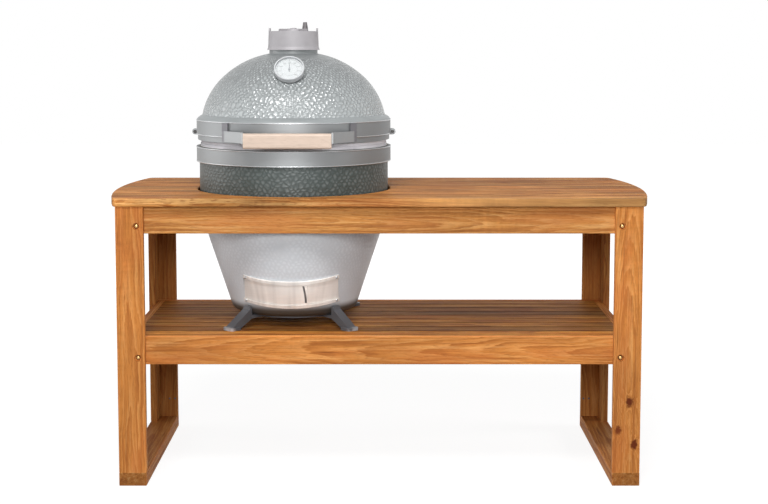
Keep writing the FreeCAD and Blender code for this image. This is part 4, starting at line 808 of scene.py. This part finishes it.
class TABLE_OT_bands(Step, Operator):
    """Steel bands, their clamps and the hinge, and the felt between the two halves"""
    bl_idname = "grill_table.bands"
    bl_label = "Bands and hinge"

    ROLL_RADIUS, ROLL_SUNK = 0.0016, 0.0002
    ROLL_CORNERS, ROLL_STEPS = 10, 128

    def build(self):
        metal = settings("metal")
        # Band, the body it rides on, and how high its rolled edges are, as shares of its height
        for node, body, levels in (("lower_band", "grill", (0.0, 1.0)), ("upper_band", "lid", (0.28, 1.0))):
            dress(node, brushed_metal(node + "_satin", metal.band, 0.5, 0.85))
            self.rolled_edges(node, body, levels)
        for node in ("hinge_bracket", "hinge_arms"):
            dress(node, cast_metal(node + "_painted", metal.arm, 0.45, 0.4))
        dress("hinge_pin", plain_metal("hinge_pin_steel", metal.arm, 0.34))
        dress("band_clamp_bolts", cast_metal("clamp_bolt_steel", metal.iron, 0.4, 0.5))
        for node in ("base_gasket", "lid_gasket"):
            dress(node, self.felt(node))

    def rolled_edges(self, node, body, levels):
        """Fine half-round edges that run round a band."""
        low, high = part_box(node)
        roll, radius = self.ROLL_RADIUS, (high.y - low.y) / 2 - self.ROLL_SUNK
        places = []
        for level in levels:
            height = min(max(low.z + (high.z - low.z) * level, low.z + roll), high.z - roll)
            places.append(Matrix.Translation((GRILL_X, (low.y + high.y) / 2, height)))
        angles = [math.tau * corner / self.ROLL_CORNERS for corner in range(self.ROLL_CORNERS + 1)]
        section = [(radius + roll * math.cos(angle), roll * math.sin(angle)) for angle in angles]
        steel = plain_metal(node + "_edge_steel", settings("metal").rim, 0.3)
        publish(repeated(turned(section, self.ROLL_STEPS), places), node + "_edges", body, steel)

    def felt(self, node):
        """Pressed felt: short fibres in all directions."""
        finish = Finish(node + "_felt")
        fibre = finish.cloudy(420, detail=5, rough=0.7)
        cloud = finish.cloudy(30, detail=2)
        mixed = finish.scaled(toned(settings("trim").felt), 0.8 + fibre * 0.25 + cloud * 0.12)
        return finish.surface(mixed, 0.92, fibre, depth=0.0008, Sheen_Weight=0.3)


class TABLE_OT_handle(Step, Operator):
    """Steel arms and the pale wooden grip"""
    bl_idname = "grill_table.handle"
    bl_label = "Handle"

    # The arms are darker where they sit on the band, closer to the grill than this
    FOOT_REACH = 0.291

    def build(self):
        metal = settings("metal")
        arms = brushed_metal("handle_arms_satin", metal.arm, 0.45, 0.5, seated=(self.FOOT_REACH, metal.foot))
        dress("handle_arms", arms)
        dress("handle_grip", self.pale_wood())

    def pale_wood(self):
        """Close-grained pale wood that runs from left to right."""
        colour = settings("trim").handle
        finish = Finish("handle_grip_wood")
        streak = finish.noise(finish.stretched(finish.place, 7, 260, 260), detail=3)
        broad = finish.noise(finish.stretched(finish.place, 3, 40, 40))
        pores = finish.step(finish.noise(finish.stretched(finish.place, 60, 1500, 1500), detail=1), 0.6, 0.72)
        mixed = finish.mixed(finish.step(streak, 0.5, 0.72) * 0.45, toned(colour), toned(colour, 0.74))
        mixed = finish.scaled(mixed, 0.9 + broad * 0.18 - pores * 0.1)
        return finish.surface(mixed, streak * 0.15 + 0.45, streak - pores, depth=0.0002)


class TABLE_OT_dial(Step, Operator):
    """The thermometer: case, printed face, needle and glass"""
    bl_idname = "grill_table.dial"
    bl_label = "Thermometer"

    FACE_RADIUS, FACE_LEVEL, FACE_SHEET, FACE_EDGE = 0.0385, 0.01505, 0.0004, 0.0001
    FACE_STEPS, RING_STEPS = 64, 96
    SWEEP = math.radians(135)
    PRINT = 0.00015
    TICKS_A_NUMBER, NUMBERS, NUMBER_STEP = 5, 9, 50
    LONG_TICK, SHORT_TICK, TICK_INSET = (0.0010, 0.0052), (0.0006, 0.0032), 0.003
    RING_INSETS, RING_WIDTH = (0.0025, 0.0165), 0.0004
    NUMBER_INSET, NUMBER_HEIGHT = 0.0122, 0.0052

    def build(self):
        metal, trim = settings("metal"), settings("trim")
        dress("thermometer_case", cast_metal("dial_case_steel", metal.rim, 0.45, 0.3))
        dress("thermometer_needle", self.enamel("needle_enamel", trim.needle))
        dress("thermometer_glass", self.clear())
        joint = JOINTS["needle_turn"]
        axis = Vector(joint["axis"])
        place = seat(Vector(joint["pos_m"]) + axis * self.FACE_LEVEL, axis)
        radius, sheet, edge = self.FACE_RADIUS, self.FACE_SHEET, self.FACE_EDGE
        face = turned([(0, 0), (radius, 0), (radius, sheet - edge), (radius - edge, sheet), (0, sheet)],
                      self.FACE_STEPS)
        face.transform(place)
        publish(face, "dial_face", "lid", self.enamel("dial_face_enamel", trim.face))
        ink = self.enamel("dial_ink", trim.ink)
        for name, marks in (("dial_ticks", self.ticks()), ("dial_numbers", self.numbers())):
            marks.transform(place @ Matrix.Translation((0, 0, sheet)))
            publish(marks, name, "lid", ink)

    def ticks(self):
        """A long tick at each number and four short ones between, and two fine rings."""
        made = bmesh.new()
        last = (self.NUMBERS - 1) * self.TICKS_A_NUMBER
        for tick in range(last + 1):
            width, tall = self.SHORT_TICK if tick % self.TICKS_A_NUMBER else self.LONG_TICK
            middle = self.FACE_RADIUS - self.TICK_INSET - tall / 2
            angle = self.SWEEP - tick * self.SWEEP * 2 / last
            bmesh.ops.create_cube(made, size=1, matrix=(
                Matrix.Rotation(angle, 4, "Z") @ Matrix.Translation((0, middle, self.PRINT / 2))
                @ Matrix.Diagonal((width, tall, self.PRINT, 1))))
        for inset in self.RING_INSETS:
            outer = self.FACE_RADIUS - inset
            inner = outer - self.RING_WIDTH
            add(made, turned([(outer, 0), (outer, self.PRINT), (inner, self.PRINT), (inner, 0), (outer, 0)],
                             self.RING_STEPS))
        return made

    def numbers(self):
        """Upright numbers inside the long ticks."""
        made = bmesh.new()
        reach = self.FACE_RADIUS - self.NUMBER_INSET
        for step in range(self.NUMBERS):
            angle = self.SWEEP - step * self.SWEEP * 2 / (self.NUMBERS - 1)
            text = bpy.data.curves.new("number", "FONT")
            text.body, text.size = str(step * self.NUMBER_STEP), self.NUMBER_HEIGHT
            text.align_x, text.align_y, text.extrude = "CENTER", "CENTER", self.PRINT / 2
            written = bpy.data.objects.new("number", text)
            mesh = bpy.data.meshes.new_from_object(written)
            mesh.transform(Matrix.Translation(
                (-math.sin(angle) * reach, math.cos(angle) * reach, self.PRINT / 2)))
            made.from_mesh(mesh)
            bpy.data.meshes.remove(mesh)
            bpy.data.objects.remove(written)
            bpy.data.curves.remove(text)
        return made

    def enamel(self, name, colour):
        """Smooth baked paint."""
        finish = Finish(name)
        cloud = finish.cloudy(120, detail=2)
        mixed = finish.scaled(toned(colour), 0.96 + cloud * 0.06)
        return finish.surface(mixed, cloud * 0.1 + 0.35, cloud, depth=0.00003)

    def clear(self):
        """Glass with faint smears."""
        finish = Finish("dial_glass")
        smear = finish.cloudy(60)
        return finish.surface(toned(settings("trim").glass), smear * 0.06 + 0.03, smear, depth=0.00002, Alpha=0.1)


class TABLE_OT_vent(Step, Operator):
    """Cast vent cap and its turning disc with a dark knob"""
    bl_idname = "grill_table.vent"
    bl_label = "Vent"

    KNOB_OFFSET = 0.034
    KNOB_REACH = (0.0115, 0.0105)
    KNOB_DROP = (0.021, 0.0185)

    def build(self):
        metal = settings("metal")
        dress("vent_housing", cast_metal("vent_housing_cast", metal.vent, 0.62, 0.15))
        finish = Finish("vent_disc_cast")
        grit, cloud = cast_skin(finish)
        x, y, z = finish.split(finish.place)
        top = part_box("vent_disc")[1].z
        knob = finish.step(finish.span(x - (GRILL_X + self.KNOB_OFFSET), y), *self.KNOB_REACH)
        knob = knob * finish.step(z, *(top - drop for drop in self.KNOB_DROP))
        colour = finish.mixed(knob, toned(metal.vent), toned(metal.knob))
        colour = finish.scaled(colour, 0.84 + cloud * 0.3)
        disc = finish.surface(colour, cloud * 0.2 + 0.36, grit, depth=0.0003, Metallic=0.2)
        dress("vent_disc", disc)


class TABLE_OT_draft(Step, Operator):
    """Brushed draft frame and sliding door, and the screws in the frame's corners"""
    bl_idname = "grill_table.draft"
    bl_label = "Draft door"

    ROUGH, GLINT = 0.32, 0.15
    # Screws on the frame's lips, clear of the door: from its middle along the slope and round the base
    SCREW_LEVEL, SCREW_ANGLE, OUTSIDE = 0.0365, math.radians(36), 0.4
    SCREW = (0.0036, 0.002, 0.0014)
    # The crescent: its distance from the door's end, lean and bow, and half its width and its height
    CRESCENT_INSET, CRESCENT_LEAN, CRESCENT_BOW = 0.008, 0.009, 0.012
    CRESCENT_EDGE, CRESCENT_END = (0.0034, 0.0022), (0.36, 0.33)

    def build(self):
        metal = settings("metal")
        frame_steel = brushed_metal("draft_frame_brushed", metal.draft, self.ROUGH, self.GLINT, painted_rail_highlight=1.3, waves=0.7)
        dress("draft_frame", frame_steel)
        dress("draft_door", self.door())
        joint = JOINTS["draft_slide"]
        pivot, upward, side = Vector(joint["pos_m"]), -Vector(joint["axis"]), Vector((1, 0, 0))
        front = side.cross(upward)
        places = []
        for level in (-self.SCREW_LEVEL, self.SCREW_LEVEL):
            for angle in (-self.SCREW_ANGLE, self.SCREW_ANGLE):
                outward = front * math.cos(angle) + side * math.sin(angle)
                start = pivot + upward * level + outward * self.OUTSIDE
                places.append(seat(*landing("draft_frame", start, -outward)))
        screws = repeated(screw_head(*self.SCREW), places)
        publish(screws, "draft_frame_screws", "grill", plain_metal("screw_steel", metal.rim, 0.3))

    def door(self):
        """Brushed steel, with a dark crescent of painted shade for the slot beside the tab that was bent out of it.
        """
        metal = settings("metal")
        low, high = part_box("draft_door")
        finish = Brushed("draft_door_brushed")
        x, _, _ = finish.split(finish.place)
        level = (finish.height - (low.z + high.z) / 2) / (high.z - low.z)
        # Painted reflections in the door's tone
        tone = 0.53 + finish.lines * 0.14 + finish.cloud * 0.16 + finish.wave() * 0.7
        middle = high.x - self.CRESCENT_INSET - level * self.CRESCENT_LEAN - level * level * self.CRESCENT_BOW
        # Painted shade: the slot beside the tab, painted dark
        crescent = finish.step(finish.size(x - middle), *self.CRESCENT_EDGE)
        crescent = crescent * finish.step(finish.size(level), *self.CRESCENT_END)
        mixed = finish.mixed(crescent, finish.scaled(toned(metal.draft), tone), toned(metal.knob))
        return finish.brushed(mixed, self.ROUGH, self.GLINT)


class TABLE_OT_stand(Step, Operator):
    """Slate grey feet and the ring that joins them"""
    bl_idname = "grill_table.stand"
    bl_label = "Stand"

    TOE_REACH, TOE_HEIGHT = (0.262, 0.276), (0.43, 0.418)

    def build(self):
        for node in ("stand_ring", "front_left_foot", "front_right_foot", "back_left_foot", "back_right_foot"):
            dress(node, self.painted(node))

    def painted(self, node):
        """Satin paint, paler near the toes: partly wear, partly painted highlight."""
        metal = settings("metal")
        finish = Finish(node + "_paint")
        _, reach, height = finish.around()
        cloud = finish.cloudy(30)
        grit = finish.cloudy(500)
        toe = finish.step(reach, *self.TOE_REACH) * finish.step(height, *self.TOE_HEIGHT)
        # Paler toes: partly wear, partly painted highlight
        toe_wear_and_glint = toe * finish.step(cloud, 0.35, 0.6)
        mixed = finish.mixed(toe_wear_and_glint * 0.7, toned(metal.stand), toned(metal.rubbed))
        mixed = finish.scaled(mixed, 0.85 + cloud * 0.3)
        return finish.surface(mixed, cloud * 0.2 + 0.3, grit, depth=0.0002, Metallic=0.3)


# -------------------- stage

# Setting that holds a light's power, its place, what it points at, its size, and whether it shows in
# reflections and falls on what isn't shiny
LIGHTS = (
    ("front", (-0.2, -5.2, 2.1), (0, 0, 0.5), (1.5, 1.1), True, True),
    ("high", (-0.6, -3.0, 3.8), (0, 0, 0.7), (1.7, 1.0), True, True),
    ("glint", (-0.1, -2.9, 4.1), (GRILL_X, 0, 1.0), (1.5, 1.2), True, False),
    ("left", (-4.4, 0.4, 1.4), (0, 0, 0.6), (3.2, 2.4), True, True),
    ("right", (4.4, 0.0, 1.4), (0, 0, 0.6), (1.6, 1.2), False, True),
    ("back", (0.3, 4.8, 2.2), (0, 0, 0.6), (2.4, 1.4), False, True),
    ("top", (0, 0.2, 3.6), (0, 0, 0.8), (3.0, 2.0), True, True),
)
CAMERA_PLACE, CAMERA_DIP = (-0.0011, -4.1877, 1.2014), 0.0925
SENSOR, LENS, SHIFT, FARTHEST = 36.0, 67.08, (0.0066, -0.09), 100
WHITE = (1, 1, 1, 1)
# What the camera sees of the floor: its matt colour, and its glow, which grows between two distances
FLOOR_SIZE, FLOOR_SEEN = 14, (0.22, 0.22, 0.22, 1)
FLOOR_GLOW, FAR_GLOW, FAR_REACH = 0.86, 0.16, (1.0, 3.5)


class TABLE_OT_stage(Step, Operator):
    """Pale floor, soft lights, white surroundings and the camera"""
    bl_idname = "grill_table.stage"
    bl_label = "Stage"

    def build(self):
        bpy.context.scene.view_settings.view_transform = "Standard"
        self.floor()
        self.surroundings()
        for light in LIGHTS:
            self.light(*light)
        self.camera()

    def seen(self, nodes):
        """1 on rays from the camera and on those that glossy and clear surfaces pass on."""
        camera = nodes.node("ShaderNodeLightPath", output="Is Camera Ray")
        glossy, clear = (Term(nodes, nodes.siblings(camera)[name]) for name in (
            "Is Glossy Ray", "Is Transmission Ray"))
        return nodes.maths("MAXIMUM", camera, nodes.maths("MAXIMUM", glossy, clear))

    def floor(self):
        """A matt floor that keeps the shadow, and glows white farther out."""
        shape = bmesh.new()
        bmesh.ops.create_grid(shape, x_segments=2, y_segments=2, size=FLOOR_SIZE)
        finish = Finish("floor_paint")
        seen = self.seen(finish)
        x, y, _ = finish.split(finish.place)
        away = finish.step(finish.span(x, y), *FAR_REACH)
        cloud = finish.cloudy(0.6, detail=2)
        tone = finish.scaled(finish.mixed(seen, toned(settings("stage").floor), FLOOR_SEEN), 0.99 + cloud * 0.02)
        matt = finish.node("ShaderNodeBsdfDiffuse", inputs={"Color": tone})
        glow = finish.node("ShaderNodeEmission", inputs={
            "Color": WHITE, "Strength": seen * (FLOOR_GLOW + away * FAR_GLOW)})
        both = finish.node("ShaderNodeAddShader", inputs={0: matt, 1: glow})
        finish.node("ShaderNodeOutputMaterial", inputs={"Surface": both})
        standing(shape, "floor", finish.material)

    def surroundings(self):
        """White where the camera looks, and dimmer as a light."""
        strength = settings("stage").sky
        world = bpy.data.worlds.new("surroundings")
        world.use_nodes = True
        bpy.context.scene.world = world
        nodes = Nodes(world.node_tree)
        level = strength + self.seen(nodes) * (1 - strength)
        sky = nodes.node("ShaderNodeBackground", inputs={"Color": WHITE, "Strength": level})
        nodes.node("ShaderNodeOutputWorld", inputs={"Surface": sky})

    def light(self, kind, place, target, size, glints, diffuse):
        lamp = bpy.data.lights.new(kind + "_light", "AREA")
        lamp.shape, lamp.energy = "RECTANGLE", getattr(settings("stage"), kind)
        lamp.size, lamp.size_y = size
        made = linked(kind + "_light", lamp)
        made.location = place
        made.rotation_euler = (Vector(target) - Vector(place)).to_track_quat("-Z", "Y").to_euler()
        made.visible_glossy, made.visible_diffuse = glints, diffuse

    def camera(self):
        lens = bpy.data.cameras.new("camera")
        lens.sensor_width, lens.lens, lens.clip_end = SENSOR, LENS, FARTHEST
        lens.shift_x, lens.shift_y = SHIFT
        camera = linked("camera", lens)
        camera.location = CAMERA_PLACE
        camera.rotation_euler = (math.pi / 2 - CAMERA_DIP, 0, 0)
        bpy.context.scene.camera = camera


# -------------------- add-on

OPERATORS = (
    TABLE_OT_timber, TABLE_OT_fixings, TABLE_OT_ceramic, TABLE_OT_hearth, TABLE_OT_bands, TABLE_OT_handle,
    TABLE_OT_dial, TABLE_OT_vent, TABLE_OT_draft, TABLE_OT_stand, TABLE_OT_stage)


class TABLE_PT_panel(Panel):
    """Every step of the finish, with its settings"""
    bl_idname = "TABLE_PT_panel"
    bl_label = "Grill table"
    bl_space_type = "VIEW_3D"
    bl_region_type = "UI"
    bl_category = "Grill Table"

    def draw(self, context):
        for group in SETTINGS:
            kind = kind_of(group)
            box = self.layout.box()
            box.label(text=kind.capitalize())
            for name in group.__annotations__:
                box.prop(settings(kind), name)
        for operator in OPERATORS:
            self.layout.operator(operator.bl_idname)


def register():
    for group in SETTINGS:
        bpy.utils.register_class(group)
        setattr(Scene, PREFIX + kind_of(group), bpy.props.PointerProperty(type=group))
    for part in (*OPERATORS, TABLE_PT_panel):
        bpy.utils.register_class(part)


def unregister():
    for part in (TABLE_PT_panel, *reversed(OPERATORS)):
        bpy.utils.unregister_class(part)
    for group in reversed(SETTINGS):
        delattr(Scene, PREFIX + kind_of(group))
        bpy.utils.unregister_class(group)


def main():
    register()
    for operator in OPERATORS:
        getattr(bpy.ops.grill_table, operator.bl_idname.split(".")[1])()


if __name__ == "__main__":
    main()
